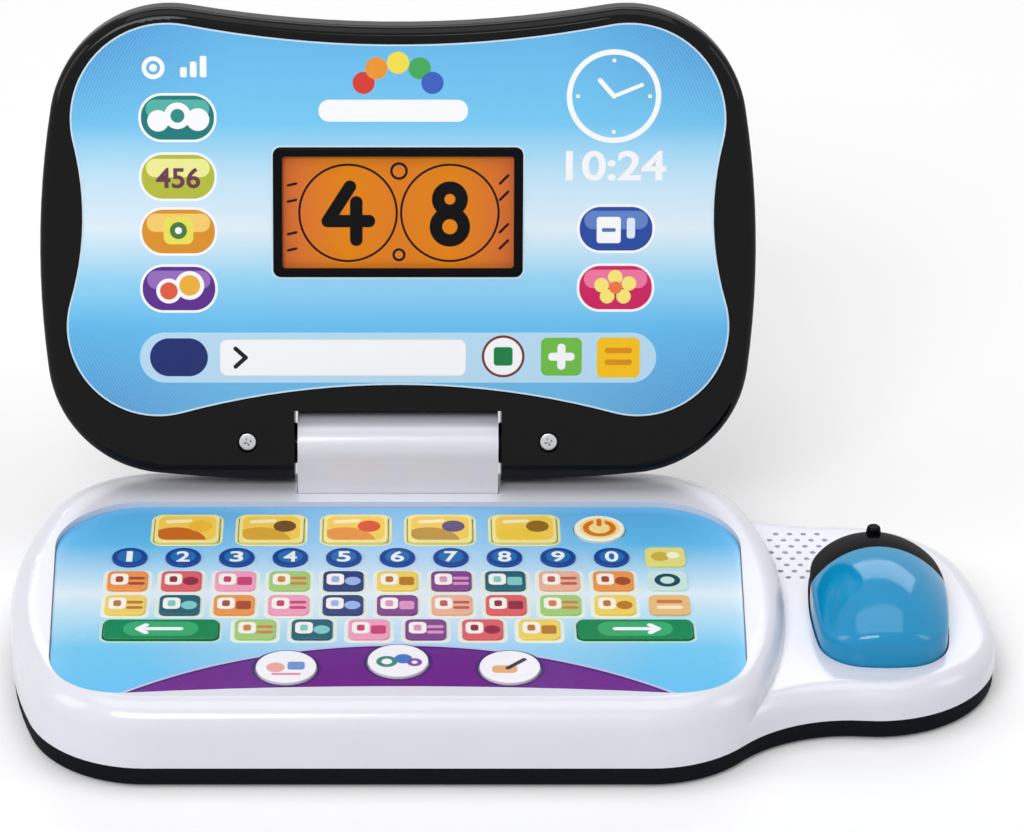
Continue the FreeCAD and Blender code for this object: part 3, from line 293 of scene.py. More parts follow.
def plastic(name, colour, rough, size=0.7, depth=0.004, **sockets):
    """A moulded finish: its colour and shine wander a little, over a fine skin."""
    paint = finish(name, colour, **sockets)
    paint.grain(rough, size, depth)
    darker = tuple(0.9 * part for part in colour[:3])
    return paint.coat(paint.mix(colour, (*darker, 1.0), paint.noise(22.0) * 0.5))


def black(name, colour, shine, rough):
    """Moulded black that stays deep at a flat angle: its shine is in a thin coat only."""
    return plastic(name, colour, 0.3, depth=0.012, Specular_IOR_Level=0.0, Coat_Weight=shine,
                   Coat_Roughness=rough)


def brushed(name, colour, rough):
    """Plated metal with fine turned marks."""
    paint = finish(name, colour, Metallic=1.0)
    paint.grain(rough, 0.12, 0.006, wear=0.6)
    return paint.material


def printed(name, rough=0.28, **sockets):
    """A printed, lacquered surface, whose colour is laid on later."""
    paint = finish(name, Specular_IOR_Level=0.15, Coat_Weight=0.2, Coat_Roughness=0.12, **sockets)
    paint.grain(rough, 2.4, 0.0006)
    return paint


def middle(node):
    """Centre of a CAD node's box, in millimetres across and along the deck."""
    low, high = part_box(node)
    return ((low + high) / 2 - deck_middle) / MM


def print_over(paint, colour, layers):
    """Lays (distance, ink) layers over a colour, the last one on top."""
    for distance, layer in layers:
        colour = paint.mix(colour, layer, distance.cover())
    return colour


def button(paint, spot, centre, size, edge, body):
    """A pill-shaped printed button with a white edge and a paler upper half."""
    x, y = centre
    corner = size[1] / 2 - 0.3
    outer = paint.pill(spot, centre, (size[0] + 1.6, size[1] + 1.6), corner + 0.8)
    inner = paint.pill(spot, centre, size, corner)
    shine = paint.pill(spot, (x, y + size[1] * 0.2), (size[0] - 3, size[1] * 0.42), size[1] * 0.2)
    return [(outer, WHITE), (inner, edge), (shine & inner, body)]


def left_buttons(paint, spot):
    """Four buttons at the left of the screen panel, one of them left bare for its figures."""
    cloud, square, beads = (-69.4, 107.4), (-69.4, 70.8), ((-72.6, 51.4), (-66.0, 53.2))
    layers = button(paint, spot, (-69.4, 106.8), (23, 14), ink(22, 122, 122), ink(84, 178, 166))
    layers += [(paint.disc(spot, (-75.5, 105.8), 3.4), WHITE),
               (paint.disc(spot, cloud, 4.2), WHITE),
               (paint.disc(spot, (-63.0, 106.2), 3.6), WHITE),
               (paint.disc(spot, cloud, 2.2), ink(40, 140, 136))]
    layers += button(paint, spot, (-69.4, 88.0), (23, 14), ink(182, 188, 60), ink(240, 238, 150))
    layers += button(paint, spot, (-69.4, 70.5), (23, 14), ink(222, 146, 40), ink(248, 206, 110))
    layers += [(paint.pill(spot, square, (9.4, 8.8), 2.2), ink(236, 226, 90)),
               (paint.disc(spot, square, 2.7), ink(70, 120, 60)),
               (paint.disc(spot, square, 1.1), WHITE)]
    layers += button(paint, spot, (-69.4, 52.2), (23, 14), ink(92, 44, 140), ink(150, 110, 190))
    layers += [(paint.disc(spot, beads[0], 4.0), WHITE), (paint.disc(spot, beads[1], 4.6), WHITE),
               (paint.disc(spot, beads[0], 2.8), ink(226, 92, 64)),
               (paint.disc(spot, beads[1], 3.3), ink(240, 178, 60))]
    return layers


def right_buttons(paint, spot):
    """Two buttons at the right of the screen panel: blocks on blue, and a flower on pink."""
    flower = (68.9, 52.5)
    layers = button(paint, spot, (68.9, 71.4), (23, 14), ink(36, 72, 160), ink(96, 130, 200))
    layers += [(paint.pill(spot, (66.6, 71.0), (7.6, 8.4), 0.9), WHITE),
               (paint.pill(spot, (73.6, 71.6), (2.6, 6.6), 0.9), ink(226, 236, 250)),
               (paint.pill(spot, (66.6, 71.0), (4.4, 1.2), 0.5), ink(80, 110, 180))]
    layers += button(paint, spot, flower, (23, 14), ink(206, 30, 96), ink(240, 120, 160))
    for turn in (0.4, 1.6, 2.9, 4.1, 5.3):
        petal = (flower[0] + 4.6 * math.cos(turn), flower[1] + 3.4 * math.sin(turn))
        layers.append((paint.disc(spot, petal, 2.3), ink(250, 232, 120)))
    layers.append((paint.disc(spot, flower, 2.0), ink(240, 120, 70)))
    return layers


def top_marks(paint, spot):
    """Marks along the top of the screen panel: a target, bars, coloured discs, a bare strip and a dial."""
    target, (clock_x, clock_y) = (-76.9, 122.6), (67.9, 113.6)
    layers = [(paint.ring(spot, target, 2.9, 0.7), WHITE), (paint.disc(spot, target, 1.2), WHITE)]
    for step in range(3):
        bar = paint.pill(spot, (-67.4 + 3.1 * step, 121.2 + 0.9 * step), (2.1, 3.2 + 1.8 * step), 0.6)
        layers.append((bar, WHITE))
    fan = (ink(214, 62, 52), ink(238, 150, 50), ink(244, 222, 80), ink(70, 168, 90), ink(60, 96, 190))
    for index, shade in enumerate(fan):
        turn = math.radians(165 - 37.5 * index)
        place = (11.2 * math.cos(turn), 115.6 + 8.6 * math.sin(turn))
        layers.append((paint.disc(spot, place, 3.5), shade))
    layers += [(paint.pill(spot, (-1.5, 109.0), (47, 7), 3.3), WHITE),
               (paint.ring(spot, (clock_x, clock_y), 14.0, 0.85), WHITE),
               (paint.stroke(spot, (clock_x, clock_y), (clock_x - 4.4, clock_y + 5.0), 0.75), WHITE),
               (paint.stroke(spot, (clock_x, clock_y), (clock_x + 8.8, clock_y + 3.6), 0.6), WHITE)]
    for across, up in ((1, 0), (0, 1), (-1, 0), (0, -1)):
        hour = (clock_x + 11.3 * across, clock_y + 11.3 * up)
        layers.append((paint.pill(spot, hour, (1.2, 1.2), 0.5), WHITE))
    return layers


def tool_bar(paint, spot):
    """Pale bar along the foot of the screen panel: a bare pill, a white field and three square marks."""
    tip, stop, plus = (-48.4, 29.9), (33.4, 30.3), (51.9, 30.2)
    return [(paint.pill(spot, (0, 29.9), (164, 16.2), 8), ink(186, 222, 244)),
            (paint.pill(spot, (-69.6, 30), (18.4, 12.3), 6.1), ink(24, 42, 110)),
            (paint.pill(spot, (-17.5, 29.9), (78, 11.6), 2.2), WHITE),
            (paint.stroke(spot, (-51.6, 32.8), tip, 0.7), INK_BLACK),
            (paint.stroke(spot, tip, (-51.6, 27.0), 0.7), INK_BLACK),
            (paint.disc(spot, stop, 6.8), ink(120, 46, 46)),
            (paint.disc(spot, stop, 6.0), WHITE),
            (paint.pill(spot, stop, (6.0, 6.0), 1.0), ink(10, 128, 66)),
            (paint.pill(spot, plus, (13, 12.3), 2), ink(112, 190, 70)),
            (paint.pill(spot, plus, (8.4, 2.6), 1.2), WHITE),
            (paint.pill(spot, plus, (2.6, 8.4), 1.2), WHITE),
            (paint.pill(spot, (70, 29.9), (13.7, 13), 2), ink(250, 196, 20)),
            (paint.pill(spot, (70, 32.2), (8.6, 1.8), 0.8), ink(224, 142, 16)),
            (paint.pill(spot, (70, 28.4), (8.6, 1.8), 0.8), ink(224, 142, 16))]


def screen_print():
    """Printed panel of the lid: a sky fade with fine rings in the corners, and generic marks."""
    paint = printed("screen_print", 0.24)
    spot, x, v = paint.flat(paint.place(-lid_turn, hinge_axis))
    sky = paint.ramp((v - 15) / 125, [
        (0.0, ink(112, 184, 230)), (0.2, ink(104, 194, 242)), (0.32, ink(150, 214, 246)),
        (0.45, ink(224, 240, 250)), (0.58, ink(196, 229, 248)), (0.72, ink(120, 202, 243)),
        (1.0, ink(98, 178, 232))])
    corner = ((abs(x) - 52) / 34 & 0.0) * ((abs(v - 73) - 24) / 36 & 0.0)
    rings = paint.math("SINE", paint.vector("DISTANCE", spot, (0, LCD_V, 0)) * 3.4)
    sky = paint.mix(sky, ink(70, 140, 205), paint.math("MULTIPLY", corner, abs(rings) * 0.7, clamp=True))
    layers = [(paint.pill(spot, (0, LCD_V), (79.6, 42.2), 3.0), PALE_LINE)]
    for part in (left_buttons, right_buttons, top_marks, tool_bar):
        layers += part(paint, spot)
    return paint.coat(print_over(paint, sky, layers))


def lcd_picture():
    """Orange display with two plain numbers in rings."""
    paint = finish("lcd_picture", Specular_IOR_Level=0.05)
    paint.grain(0.35, 2.4, 0.0006)
    spot, x, v = paint.flat(paint.place(-lid_turn, hinge_axis))
    glow = paint.ramp(abs(x) / 37, [
        (0.0, ink(236, 134, 40)), (0.45, ink(242, 142, 28)), (1.0, ink(228, 116, 60))])
    left, right = -15.8, 16.4
    level = LCD_V - 0.4
    heavy = 2.0
    layers = [(paint.ring(spot, (left, level), 15.4, 0.35), INK_BLACK),
              (paint.ring(spot, (right, level), 15.4, 0.35), INK_BLACK),
              (paint.stroke(spot, (left + 0.6, level + 8.4), (left - 6.4, level - 2.6), heavy), INK_BLACK),
              (paint.stroke(spot, (left - 6.4, level - 2.6), (left + 6.6, level - 2.6), heavy), INK_BLACK),
              (paint.stroke(spot, (left + 2.6, level + 3.4), (left + 2.6, level - 8.6), heavy), INK_BLACK),
              (paint.ring(spot, (right, level + 4.4), 3.7, heavy), INK_BLACK),
              (paint.ring(spot, (right, level - 4.4), 4.4, heavy), INK_BLACK),
              (paint.ring(spot, (0.3, level + 13.4), 2.4, 0.4), INK_BLACK),
              (paint.ring(spot, (0.3, level - 13.4), 1.7, 0.4), INK_BLACK)]
    for side in (-1, 1):
        for step in (-2, -1, 1, 2):
            y = level + 5.2 * step
            dash = paint.stroke(spot, (side * 32.2, y - 1), (side * 34.8, y + 1.6 * side), 0.4)
            layers.append((dash, INK_BLACK))
    return paint.coat(print_over(paint, glow, layers))


def row_halo(paint, x, y, row):
    """Pale fields round the letter keys of a row."""
    first, pitch, count = first_key[row], pitch_of[row], KEY_COUNT[row]
    along = x - first[0]
    here = paint.point(paint.repeat(along, pitch), y - first[1])
    in_row = abs(along - pitch * (count - 1) / 2) - pitch * count / 2
    return paint.pill(here, (0, 0), (15.2, 14.2), 2.4) & in_row


def deck_print():
    """Printed panel of the key deck: a sky fade with pale key halos and a purple field at the front."""
    paint = printed("deck_print", 0.26)
    spot, x, y = paint.flat(paint.place(0, deck_middle))
    sky = paint.ramp((y + 62) / 110, [
        (0.0, ink(104, 194, 240)), (0.2, ink(116, 202, 242)), (0.38, ink(186, 226, 247)),
        (0.5, ink(226, 241, 250)), (0.62, ink(180, 222, 246)), (0.78, ink(98, 190, 240)),
        (1.0, ink(92, 176, 232))])
    away = paint.vector("DISTANCE", spot, (0, -14, 0))
    glow = paint.math("MULTIPLY_ADD", away, -1 / 90, 0.95, clamp=True)
    sky = paint.mix(sky, ink(236, 240, 250), glow * 0.6)
    layers = [(row_halo(paint, x, y, row), ink(236, 244, 232)) for row in KEY_COUNT]
    purple = paint.disc(spot, PURPLE_MIDDLE, PURPLE_R)
    layers += [(purple - 0.9, ink(202, 190, 236)), (purple, ink(62, 24, 104)),
               (purple + 1.0, ink(108, 24, 136))]
    for index in range(1, 6):
        place = middle(f"topic_key_{index}")
        layers.append((paint.pill(spot, (place.x, place.y), (22.8, 19.8), 4), ink(236, 238, 180)))
    for key in ("green_key_left", "green_key_right"):
        place = middle(key)
        layers.append((paint.pill(spot, (place.x, place.y), (37.6, 13.8), 3), ink(196, 232, 222)))
    for key in ("round_key_left", "round_key_middle", "round_key_right"):
        place = middle(key)
        layers.append((paint.disc(spot, (place.x, place.y), 10.6), ink(74, 26, 112)))
    return paint.coat(print_over(paint, sky, layers))


def letter_faces(name, row, start, stride):
    """Printed faces of one row of letter keys: a coloured ground, a pale card and a small mark on each."""
    paint = printed(name)
    spot, x, y = paint.flat(paint.place(0, deck_middle))
    first, pitch, count = first_key[row], pitch_of[row], KEY_COUNT[row]
    along = x - first[0]
    turn = (along / pitch + 0.5) / count
    inks = [KEY_INKS[(start + stride * index) % len(KEY_INKS)] for index in range(count)]
    ground = paint.ramp(turn, [(index / count, pair[0]) for index, pair in enumerate(inks)], "CONSTANT")
    picture = paint.ramp(turn, [(index / count, pair[1]) for index, pair in enumerate(inks)], "CONSTANT")
    here = paint.point(paint.repeat(along, pitch), y - first[1])
    pick = paint.math("FRACT", paint.math("FLOOR", along / pitch + 0.5) * 0.3819)
    card = paint.pill(here, (-2.5, 0.6), (5.4, 6.8), 1.6)
    dot = paint.disc(here, (2.9, -0.5), 2.5)
    block = paint.pill(here, (2.9, -0.5), (4.6, 5.0), 0.9)
    bars = paint.pill(here, (2.9, 1.2), (5.2, 1.7), 0.8) | paint.pill(here, (2.9, -2.0), (5.2, 1.7), 0.8)
    sort = paint.math("GREATER_THAN", pick, 0.66)
    other = paint.math("LESS_THAN", pick, 0.33)
    mark = dot.cover() * (1 - sort - other) + block.cover() * sort + bars.cover() * other
    colour = paint.mix(ground, ink(252, 246, 236), card.cover())
    colour = paint.mix(colour, picture, paint.pill(here, (-2.5, 0.6), (2.4, 3.6), 0.9).cover())
    return paint.coat(paint.mix(colour, picture, mark))


def topic_faces():
    """Printed faces of the five topic keys: warm cards with a hill, a ball and a stripe."""
    paint = printed("topic_key")
    spot, x, y = paint.flat(paint.place(0, deck_middle))
    start, last = middle("topic_key_1"), middle("topic_key_5")
    pitch = (last.x - start.x) / 4
    along = x - start.x
    here = paint.point(paint.repeat(along, pitch), y - start.y)
    turn = (along / pitch + 0.5) / 5
    hills = paint.ramp(turn, [(0.0, ink(206, 108, 36)), (0.2, ink(222, 170, 60)), (0.4, ink(236, 150, 60)),
                              (0.6, ink(196, 150, 60)), (0.8, ink(246, 206, 70))], "CONSTANT")
    balls = paint.ramp(turn, [(0.0, ink(246, 190, 60)), (0.2, ink(120, 84, 50)), (0.4, ink(226, 84, 40)),
                              (0.6, ink(100, 80, 130)), (0.8, ink(150, 110, 40))], "CONSTANT")
    face = paint.pill(here, (0, 0), (18.2, 14.8), 3)
    hill = paint.disc(here, (-3.5, -9.5), 10.0) & face
    ball = paint.disc(here, (4.2, 1.2), 3.6)
    stripe = paint.stroke(here, (-6.0, 4.0), (0.5, 4.6), 1.0)
    layers = [(face, ink(250, 208, 84)), (hill, hills), (ball, balls), (stripe, ink(252, 240, 200))]
    return paint.coat(print_over(paint, ink(246, 232, 150), layers))


def power_face():
    """Power key: an orange ring with a short bar, on cream."""
    paint = printed("power_key")
    spot, _, _ = paint.flat(paint.place(0, deck_middle))
    key = middle("power_key")
    ring = paint.ring(spot, (key.x, key.y), 4.3, 0.95)
    gap = paint.pill(spot, (key.x, key.y + 4.2), (3.6, 4.0), 0.5)
    bar = paint.stroke(spot, (key.x, key.y + 2.0), (key.x, key.y + 5.2), 0.8)
    layers = [(paint.disc(spot, (key.x, key.y), 6.4), ink(252, 226, 150)), (ring, ink(224, 120, 24)),
              (gap, ink(252, 226, 150)), (bar, ink(224, 120, 24))]
    return paint.coat(print_over(paint, ink(250, 246, 228), layers))


def green_faces():
    """Green bar keys with a pale arrow, pointing back on the left key and on on the right one."""
    paint = printed("green_key")
    spot, _, _ = paint.flat(paint.place(0, deck_middle))
    layers = []
    for key, way in (("green_key_left", -1), ("green_key_right", 1)):
        place = middle(key)
        tip = (place.x + 7 * way, place.y)
        layers += [(paint.pill(spot, (place.x, place.y), (23, 8.4), 4), ink(54, 170, 104)),
                   (paint.stroke(spot, (place.x - 6 * way, place.y), tip, 0.9), WHITE),
                   (paint.stroke(spot, (tip[0] - 2.4 * way, tip[1] + 2.2), tip, 0.9), WHITE),
                   (paint.stroke(spot, (tip[0] - 2.4 * way, tip[1] - 2.2), tip, 0.9), WHITE)]
    return paint.coat(print_over(paint, ink(8, 132, 72), layers))


def round_faces():
    """White round keys with small coloured marks."""
    paint = printed("round_key")
    spot, _, _ = paint.flat(paint.place(0, deck_middle))
    a, b, c = (middle(f"round_key_{side}") for side in ("left", "middle", "right"))
    layers = [(paint.disc(spot, (a.x - 3.2, a.y - 0.6), 2.8), ink(240, 170, 160)),
              (paint.pill(spot, (a.x + 3.0, a.y + 0.4), (5.2, 4.6), 1.0), ink(120, 150, 210)),
              (paint.stroke(spot, (a.x - 4, a.y - 4.4), (a.x + 4, a.y - 4.4), 0.5), ink(230, 120, 140)),
              (paint.ring(spot, (b.x - 3.4, b.y - 0.8), 2.4, 0.8), ink(60, 140, 120)),
              (paint.disc(spot, (b.x + 1.6, b.y + 0.8), 2.7), ink(70, 120, 200)),
              (paint.ring(spot, (b.x + 5.0, b.y - 1.2), 1.6, 0.7), ink(130, 80, 170)),
              (paint.pill(spot, (c.x - 1.6, c.y - 1.6), (7.6, 4.4), 1.6), ink(236, 178, 120)),
              (paint.stroke(spot, (c.x - 0.6, c.y - 1.0), (c.x + 4.4, c.y + 4.0), 0.8), ink(70, 50, 50))]
    return paint.coat(print_over(paint, ink(250, 247, 252), layers))


def number_faces():
    """Blue number keys with a paler middle."""
    paint = printed("number_key")
    spot, x, y = paint.flat(paint.place(0, deck_middle))
    low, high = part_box("number_keys")
    first = (low.x - deck_middle.x) / MM + (high.y - low.y) / MM / 2
    pitch = ((high.x - low.x) - (high.y - low.y)) / MM / 9
    here = paint.point(paint.repeat(x - first, pitch), y - middle("number_keys").y)
    layers = [(paint.disc(here, (0, 0), 3.9), ink(40, 110, 180))]
    return paint.coat(print_over(paint, ink(24, 70, 150), layers))


def side_faces():
    """Three small keys at the end of the rows: two discs, a dark ring and two bars."""
    paint = printed("side_key")
    spot, x, y = paint.flat(paint.place(0, deck_middle))
    key = middle("side_keys")
    pitch = key.y - first_key["letter_keys_middle"][1]
    ground = paint.ramp((y - key.y) / (3 * pitch) + 0.5, [
        (0.0, ink(236, 190, 120)), (1 / 3, ink(206, 232, 224)), (2 / 3, ink(232, 222, 128))], "CONSTANT")
    layers = [(paint.ring(spot, (key.x, key.y), 3.1, 0.9), ink(20, 70, 80)),
              (paint.pill(spot, (key.x, key.y - pitch + 1.6), (8.0, 2.0), 0.9), ink(216, 120, 50)),
              (paint.pill(spot, (key.x, key.y - pitch - 1.8), (8.0, 2.0), 0.9), ink(250, 236, 200)),
              (paint.disc(spot, (key.x - 1.6, key.y + pitch), 2.8), ink(206, 180, 60)),
              (paint.disc(spot, (key.x + 2.4, key.y + pitch + 0.8), 2.0), ink(250, 246, 220))]
    return paint.coat(print_over(paint, ground, layers))


finishes = {
    "white_shell": plastic("white_shell", ink(226, 226, 236), 0.24, Coat_Weight=0.35, Coat_Roughness=0.08),
    "black_tray": black("black_tray", ink(14, 17, 24), 0.12, 0.3),
    "black_lid": black("black_lid", ink(8, 8, 10), 0.3, 0.05),
    "black_trim": black("black_trim", ink(9, 9, 12), 0.12, 0.15),
    "deck_print": deck_print(),
    "screen_print": screen_print(),
    "number_key": number_faces(),
    "letter_key": letter_faces("letter_key", "letter_keys_upper", 0, 1),
    "side_key": side_faces(),
    "topic_key": topic_faces(),
    "power_key": power_face(),
    "green_key": green_faces(),
    "round_key": round_faces(),
    "mouse_blue": plastic("mouse_blue", ink(8, 170, 226), 0.1, Transmission_Weight=0.35,
                          Specular_IOR_Level=0.3),
    "clear_window": plastic("clear_window", ink(30, 30, 34), 0.08, Alpha=0.05, Specular_IOR_Level=0.3),
    "lcd_picture": lcd_picture(),
    "lcd_light": plastic("lcd_light", ink(244, 170, 70), 0.5),
    "circuit_board": plastic("circuit_board", ink(30, 100, 60), 0.5),
    "chip_black": plastic("chip_black", ink(30, 30, 32), 0.5),
    "speaker_paper": plastic("speaker_paper", ink(52, 52, 55), 0.8, 0.4, 0.03),
    "cell_wrap": plastic("cell_wrap", ink(205, 206, 212), 0.35, Metallic=0.6),
    "mat_rubber": plastic("mat_rubber", ink(170, 170, 174), 0.7, 0.5, 0.01),
    "foot_rubber": plastic("foot_rubber", ink(40, 40, 42), 0.8, 0.5, 0.02),
    "lead_black": plastic("lead_black", ink(30, 30, 32), 0.55),
    "steel": brushed("steel", ink(196, 198, 202), 0.26),
}
for item in frame["nodes"].values():
    item.material_slots[0].material = finishes[item.material_slots[0].material.name.split(".")[0]]
for row, start, stride in (("letter_keys_middle", 5, 2), ("letter_keys_lower", 3, 4)):
    faces = letter_faces(row.replace("keys", "key"), row, start, stride)
    frame["nodes"][row].material_slots[0].material = faces

white_ink = plastic("white_ink", WHITE, 0.3)
pale_ink = plastic("pale_ink", PALE_LINE, 0.3)
plum_ink = plastic("plum_ink", ink(96, 40, 66), 0.3)


def on_lid(x, v, out=0.0):
    """A place on the lid: across, up from the hinge axis and out of its face, in millimetres."""
    return hinge_axis + Vector((x * MM, 0, 0)) + up_lid * v * MM + out_of_lid * out * MM


def lid_depth(node):
    """How far a lid node reaches out in front of the hinge axis, in millimetres."""
    points = [vertex.co for vertex in frame["nodes"][node].data.vertices]
    return max((point - hinge_axis).dot(out_of_lid) for point in points) / MM


def figures(words, wide, high, place, turn, layer):
    """Plain figures as a thin layer of ink, fitted to a width and height in millimetres."""
    bpy.ops.object.select_all(action="DESELECT")
    bpy.ops.object.text_add()
    piece = bpy.context.object
    piece.data.body = words
    piece.data.align_x = "CENTER"
    piece.data.align_y = "CENTER"
    piece.data.offset = 0.022
    piece.data.extrude = 0.004
    bpy.ops.object.convert(target="MESH")
    bpy.ops.object.origin_set(type="ORIGIN_GEOMETRY", center="BOUNDS")
    across, up, _ = piece.dimensions
    piece.scale = (wide * MM / across, high * MM / up, high * MM / up)
    piece.rotation_euler = (turn, 0, 0)
    piece.location = place
    bpy.ops.object.transform_apply(location=True, rotation=True, scale=True)
    piece.data.materials.append(layer)
    return piece


def joined(pieces, name, body):
    """Several meshes made one piece that rides on a body."""
    bpy.ops.object.select_all(action="DESELECT")
    for piece in pieces:
        piece.select_set(True)
    bpy.context.view_layer.objects.active = pieces[0]
    if len(pieces) > 1:
        bpy.ops.object.join()
    pieces[0].name = name
    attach(pieces[0], body)
    return pieces[0]


def number_marks():
    """White figures on the ten number keys."""
    low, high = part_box("number_keys")
    pad = high.y - low.y
    pitch = (high.x - low.x - pad) / 9
    marks = []
    for index, figure in enumerate("1234567890"):
        place = Vector((low.x + pad / 2 + index * pitch, (low.y + high.y) / 2, high.z))
        wide = 1.9 if figure == "1" else 4.2
        marks.append(figures(figure, wide, 6.4, place, 0, white_ink))
    joined(marks, "number_marks", "base")


def screen_marks():
    """White time under the dial and plum figures on the second button."""
    face = lid_depth("screen_panel")
    joined([figures("10:24", 31.6, 9.6, on_lid(68.7, 91.5, face), lid_turn, white_ink)],
           "clock_figures", "lid")
    joined([figures("456", 14.0, 6.6, on_lid(-69.4, 87.6, face), lid_turn, plum_ink)],
           "button_figures", "lid")


def select_faces(piece, wanted):
    """Selects the faces that a test picks, and nothing else, and enters edit mode on faces."""
    bpy.ops.object.mode_set(mode="EDIT")
    bpy.ops.mesh.select_mode(type="FACE")
    bpy.ops.mesh.select_all(action="DESELECT")
    bpy.ops.object.mode_set(mode="OBJECT")
    for face in piece.data.polygons:
        face.select = wanted(face)
    bpy.ops.object.mode_set(mode="EDIT")


def panel_edge():
    """Pale line printed round the edges of the screen panel."""
    bpy.ops.object.select_all(action="DESELECT")
    panel = frame["nodes"]["screen_panel"]
    line = panel.copy()
    line.data = panel.data.copy()
    bpy.context.scene.collection.objects.link(line)
    line.parent = None
    line.select_set(True)
    bpy.context.view_layer.objects.active = line
    select_faces(line, lambda face: face.normal.dot(out_of_lid) < 0.99)
    bpy.ops.mesh.delete(type="FACE")
    bpy.ops.mesh.select_all(action="SELECT")
    bpy.ops.mesh.remove_doubles(threshold=0.001 * MM)
    bpy.ops.mesh.dissolve_limited(angle_limit=math.radians(1))
    bpy.ops.mesh.select_all(action="SELECT")
    bpy.ops.mesh.inset(thickness=EDGE_LINE * MM, use_boundary=True)
    bpy.ops.mesh.delete(type="FACE")
    bpy.ops.mesh.select_all(action="SELECT")
    bpy.ops.mesh.extrude_region_move(TRANSFORM_OT_translate={"value": out_of_lid * INK_T * MM})
    bpy.ops.mesh.select_all(action="SELECT")
    bpy.ops.mesh.normals_make_consistent(inside=False)
    bpy.ops.object.mode_set(mode="OBJECT")
    line.data.materials.clear()
    line.data.materials.append(pale_ink)
    joined([line], "panel_edge_line", "lid")


def cross_screw(head_t, shank):
    """A pan-head screw with a cross recess, its face at the origin and its shank downwards."""
    bpy.ops.object.select_all(action="DESELECT")
    bpy.ops.mesh.primitive_cylinder_add(vertices=48, radius=SCREW_HEAD_R * MM, depth=head_t * MM,
                                        location=(0, 0, -head_t * MM / 2))
    piece = bpy.context.object
    bpy.ops.object.transform_apply(location=True, rotation=True, scale=True)
    select_faces(piece, lambda face: face.normal.z < -0.9)
    bpy.ops.mesh.inset(thickness=(SCREW_HEAD_R - SCREW_R) * MM)
    bpy.ops.mesh.extrude_region_move(TRANSFORM_OT_translate={"value": (0, 0, -shank * MM)})
    bpy.ops.object.mode_set(mode="OBJECT")
    select_faces(piece, lambda face: face.normal.z > 0.9)
    bpy.ops.mesh.bevel(offset=0.35 * head_t * MM, segments=4, affect="EDGES")
    bpy.ops.object.mode_set(mode="OBJECT")
    for turn in (0, math.pi / 2):
        bpy.ops.mesh.primitive_cube_add(size=MM)
        blade = bpy.context.object
        blade.scale = (RECESS_LONG, RECESS_WIDE, 1.2 * head_t)
        blade.rotation_euler = (0, 0, turn + math.radians(20))
        bpy.ops.object.transform_apply(location=True, rotation=True, scale=True)
        select_faces(blade, lambda face: face.normal.z < -0.9)
        bpy.ops.transform.resize(value=(0.4, 0.4, 1))
        bpy.ops.object.mode_set(mode="OBJECT")
        bpy.context.view_layer.objects.active = piece
        cut = piece.modifiers.new("cross", "BOOLEAN")
        cut.operation = "DIFFERENCE"
        cut.object = blade
        bpy.ops.object.modifier_apply(modifier="cross")
        bpy.data.objects.remove(blade)
    bpy.ops.object.select_all(action="DESELECT")
    piece.select_set(True)
    bpy.ops.object.shade_smooth_by_angle(angle=math.radians(35))
    piece.data.materials.append(finishes["steel"])
    return piece


def box_middle(points):
    """Middle of the box round some points."""
    low, high = ([pick(point[axis] for point in points) for axis in range(3)] for pick in (min, max))
    return (Vector(low) + Vector(high)) / 2


def head_places(node, up):
    """Middle of each screw head of a node: its outermost points, grouped by nearness."""
    points = [vertex.co for vertex in frame["nodes"][node].data.vertices]
    top = max(point.dot(up) for point in points)
    groups = []
    for point in points:
        if point.dot(up) < top - 0.05 * MM:
            continue
        near = [group for group in groups if (group[0] - point).length < 2.2 * SCREW_HEAD_R * MM]
        if near:
            near[0].append(point)
        else:
            groups.append([point])
    return [box_middle(group) for group in groups]


def screw_set(name, body, node, head_t, out, turn):
    """A screw at each place, as long as the CAD node's, all in one piece that stands for the node."""
    reach = [vertex.co.dot(out) / MM for vertex in frame["nodes"][node].data.vertices]
    model = cross_screw(head_t, max(reach) - min(reach) - head_t)
    copies = []
    for place in head_places(node, out):
        copy = model.copy()
        copy.data = model.data.copy()
        bpy.context.scene.collection.objects.link(copy)
        copy.rotation_euler = (turn, 0, 0)
        copy.location = place
        copies.append(copy)
    bpy.data.objects.remove(model)
    bpy.ops.object.select_all(action="DESELECT")
    for copy in copies:
        copy.select_set(True)
    bpy.context.view_layer.objects.active = copies[0]
    bpy.ops.object.transform_apply(location=True, rotation=True, scale=True)
    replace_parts(joined(copies, name, body), node)


def cross_screws():
    """The chin, base and battery door screws."""
    down = Vector((0, 0, -1))
    screw_set("chin_cross_screws", "lid", "lid_screws", SCREW_HEAD_T, out_of_lid, lid_turn)
    screw_set("base_cross_screws", "base", "base_screws", SCREW_HEAD_T, down, math.pi)
    screw_set("door_cross_screw", "base", "battery_door_screw", DOOR_HEAD_T, down, math.pi)


number_marks()
screen_marks()
panel_edge()
cross_screws()

# Camera at the photograph's angle, placed from the key deck
CAMERA_BACK = 1.3352
CAMERA_UP = 0.7894
CAMERA_PITCH = math.radians(61.32)
CAMERA_LENS = 175.1
CAMERA_SHIFT = 0.1113

# Light of the room, the part of the floor that is seen as plain white near the toy, and where the floor
# fades into the backdrop, in millimetres
ROOM_LIGHT = 0.2
FLOOR_WHITE = 0.1
FADE_START = 500
FADE_LONG = 1100

lens = bpy.data.cameras.new("camera")
lens.sensor_width = 36
lens.lens = CAMERA_LENS
lens.shift_x = CAMERA_SHIFT
camera = bpy.data.objects.new("camera", lens)
camera.location = deck_middle + Vector((0, -CAMERA_BACK, CAMERA_UP))
camera.rotation_euler = (CAMERA_PITCH, 0, 0)
bpy.context.scene.collection.objects.link(camera)
bpy.context.scene.camera = camera


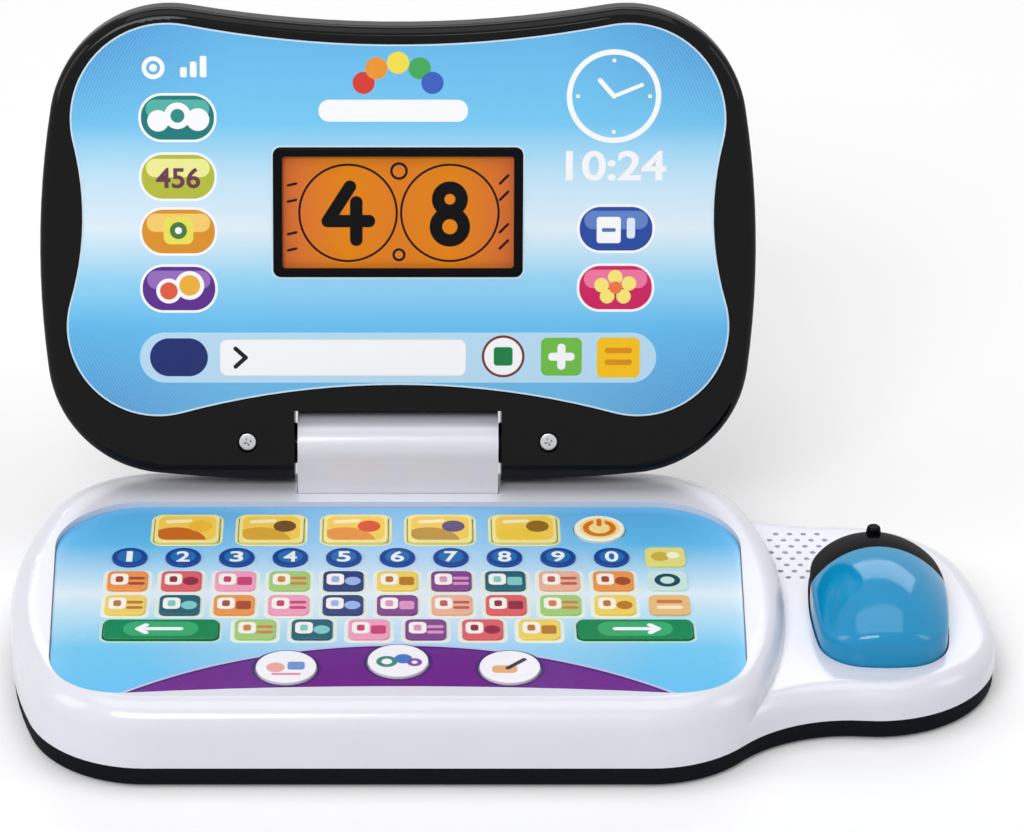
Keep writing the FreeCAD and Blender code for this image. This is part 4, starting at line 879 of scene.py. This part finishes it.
def floor():
    """White floor that keeps a soft shadow, fades into the backdrop and is clear from below."""
    bpy.ops.object.select_all(action="DESELECT")
    bpy.ops.mesh.primitive_plane_add(size=12, location=(0, 0, 0))
    plane = bpy.context.object
    plane.name = "floor"
    paint = finish("floor_white", ink(250, 250, 251), Roughness=0.9)
    away = paint.vector("LENGTH", paint.place(0, (0, 0, 0)))
    far = paint.math("DIVIDE", away - FADE_START, FADE_LONG, clamp=True)
    plain = paint.backdrop_seen() * (far & FLOOR_WHITE)
    glow = Value(paint, paint.node("ShaderNodeEmission", {}, {"Strength": 1.0}).outputs[0])
    matt = Value(paint, paint.shader.outputs[0])
    both = Value(paint, paint.node("ShaderNodeMixShader", {}, {0: plain, 1: matt, 2: glow}).outputs[0])
    clear = Value(paint, paint.node("ShaderNodeBsdfTransparent", {}, {}).outputs[0])
    below = Value(paint, paint.node("ShaderNodeNewGeometry", {}, {}).outputs["Backfacing"])
    side = paint.node("ShaderNodeMixShader", {}, {0: below, 1: both, 2: clear})
    paint.tree.links.new(side.outputs[0], paint.tree.nodes["Material Output"].inputs["Surface"])
    plane.data.materials.append(paint.material)


def softbox(name, place, aim, size, power):
    """A rectangular lamp that looks at a point."""
    lamp = bpy.data.lights.new(name, "AREA")
    lamp.shape = "RECTANGLE"
    lamp.size, lamp.size_y = size
    lamp.energy = power
    box = bpy.data.objects.new(name, lamp)
    box.location = place
    box.rotation_euler = (Vector(aim) - Vector(place)).to_track_quat("-Z", "Y").to_euler()
    bpy.context.scene.collection.objects.link(box)


def studio():
    """White backdrop for the camera, weak light from all round, and five soft lamps."""
    world = bpy.data.worlds.new("studio")
    bpy.context.scene.world = world
    paint = Paint(world, "Background")
    paint.shader.inputs["Color"].default_value = (1, 1, 1, 1)
    paint.into(paint.backdrop_seen() * (1 - ROOM_LIGHT) + ROOM_LIGHT, "Strength")
    softbox("top_box", (0.0, 0.0, 1.5), (0, 0, 0.03), (1.5, 1.1), 9)
    softbox("front_box", (-0.5, -1.4, 1.3), (0, 0, 0.08), (0.9, 0.6), 15)
    softbox("left_box", (-1.4, -0.3, 0.8), (0, 0, 0.08), (0.6, 0.8), 4)
    softbox("right_box", (1.4, -0.3, 0.8), (0, 0, 0.08), (0.5, 0.8), 3)
    softbox("back_box", (0.1, 1.2, 1.0), (0, 0, 0.1), (1.8, 0.5), 8)


floor()
studio()
bpy.context.scene.view_settings.view_transform = "Standard"
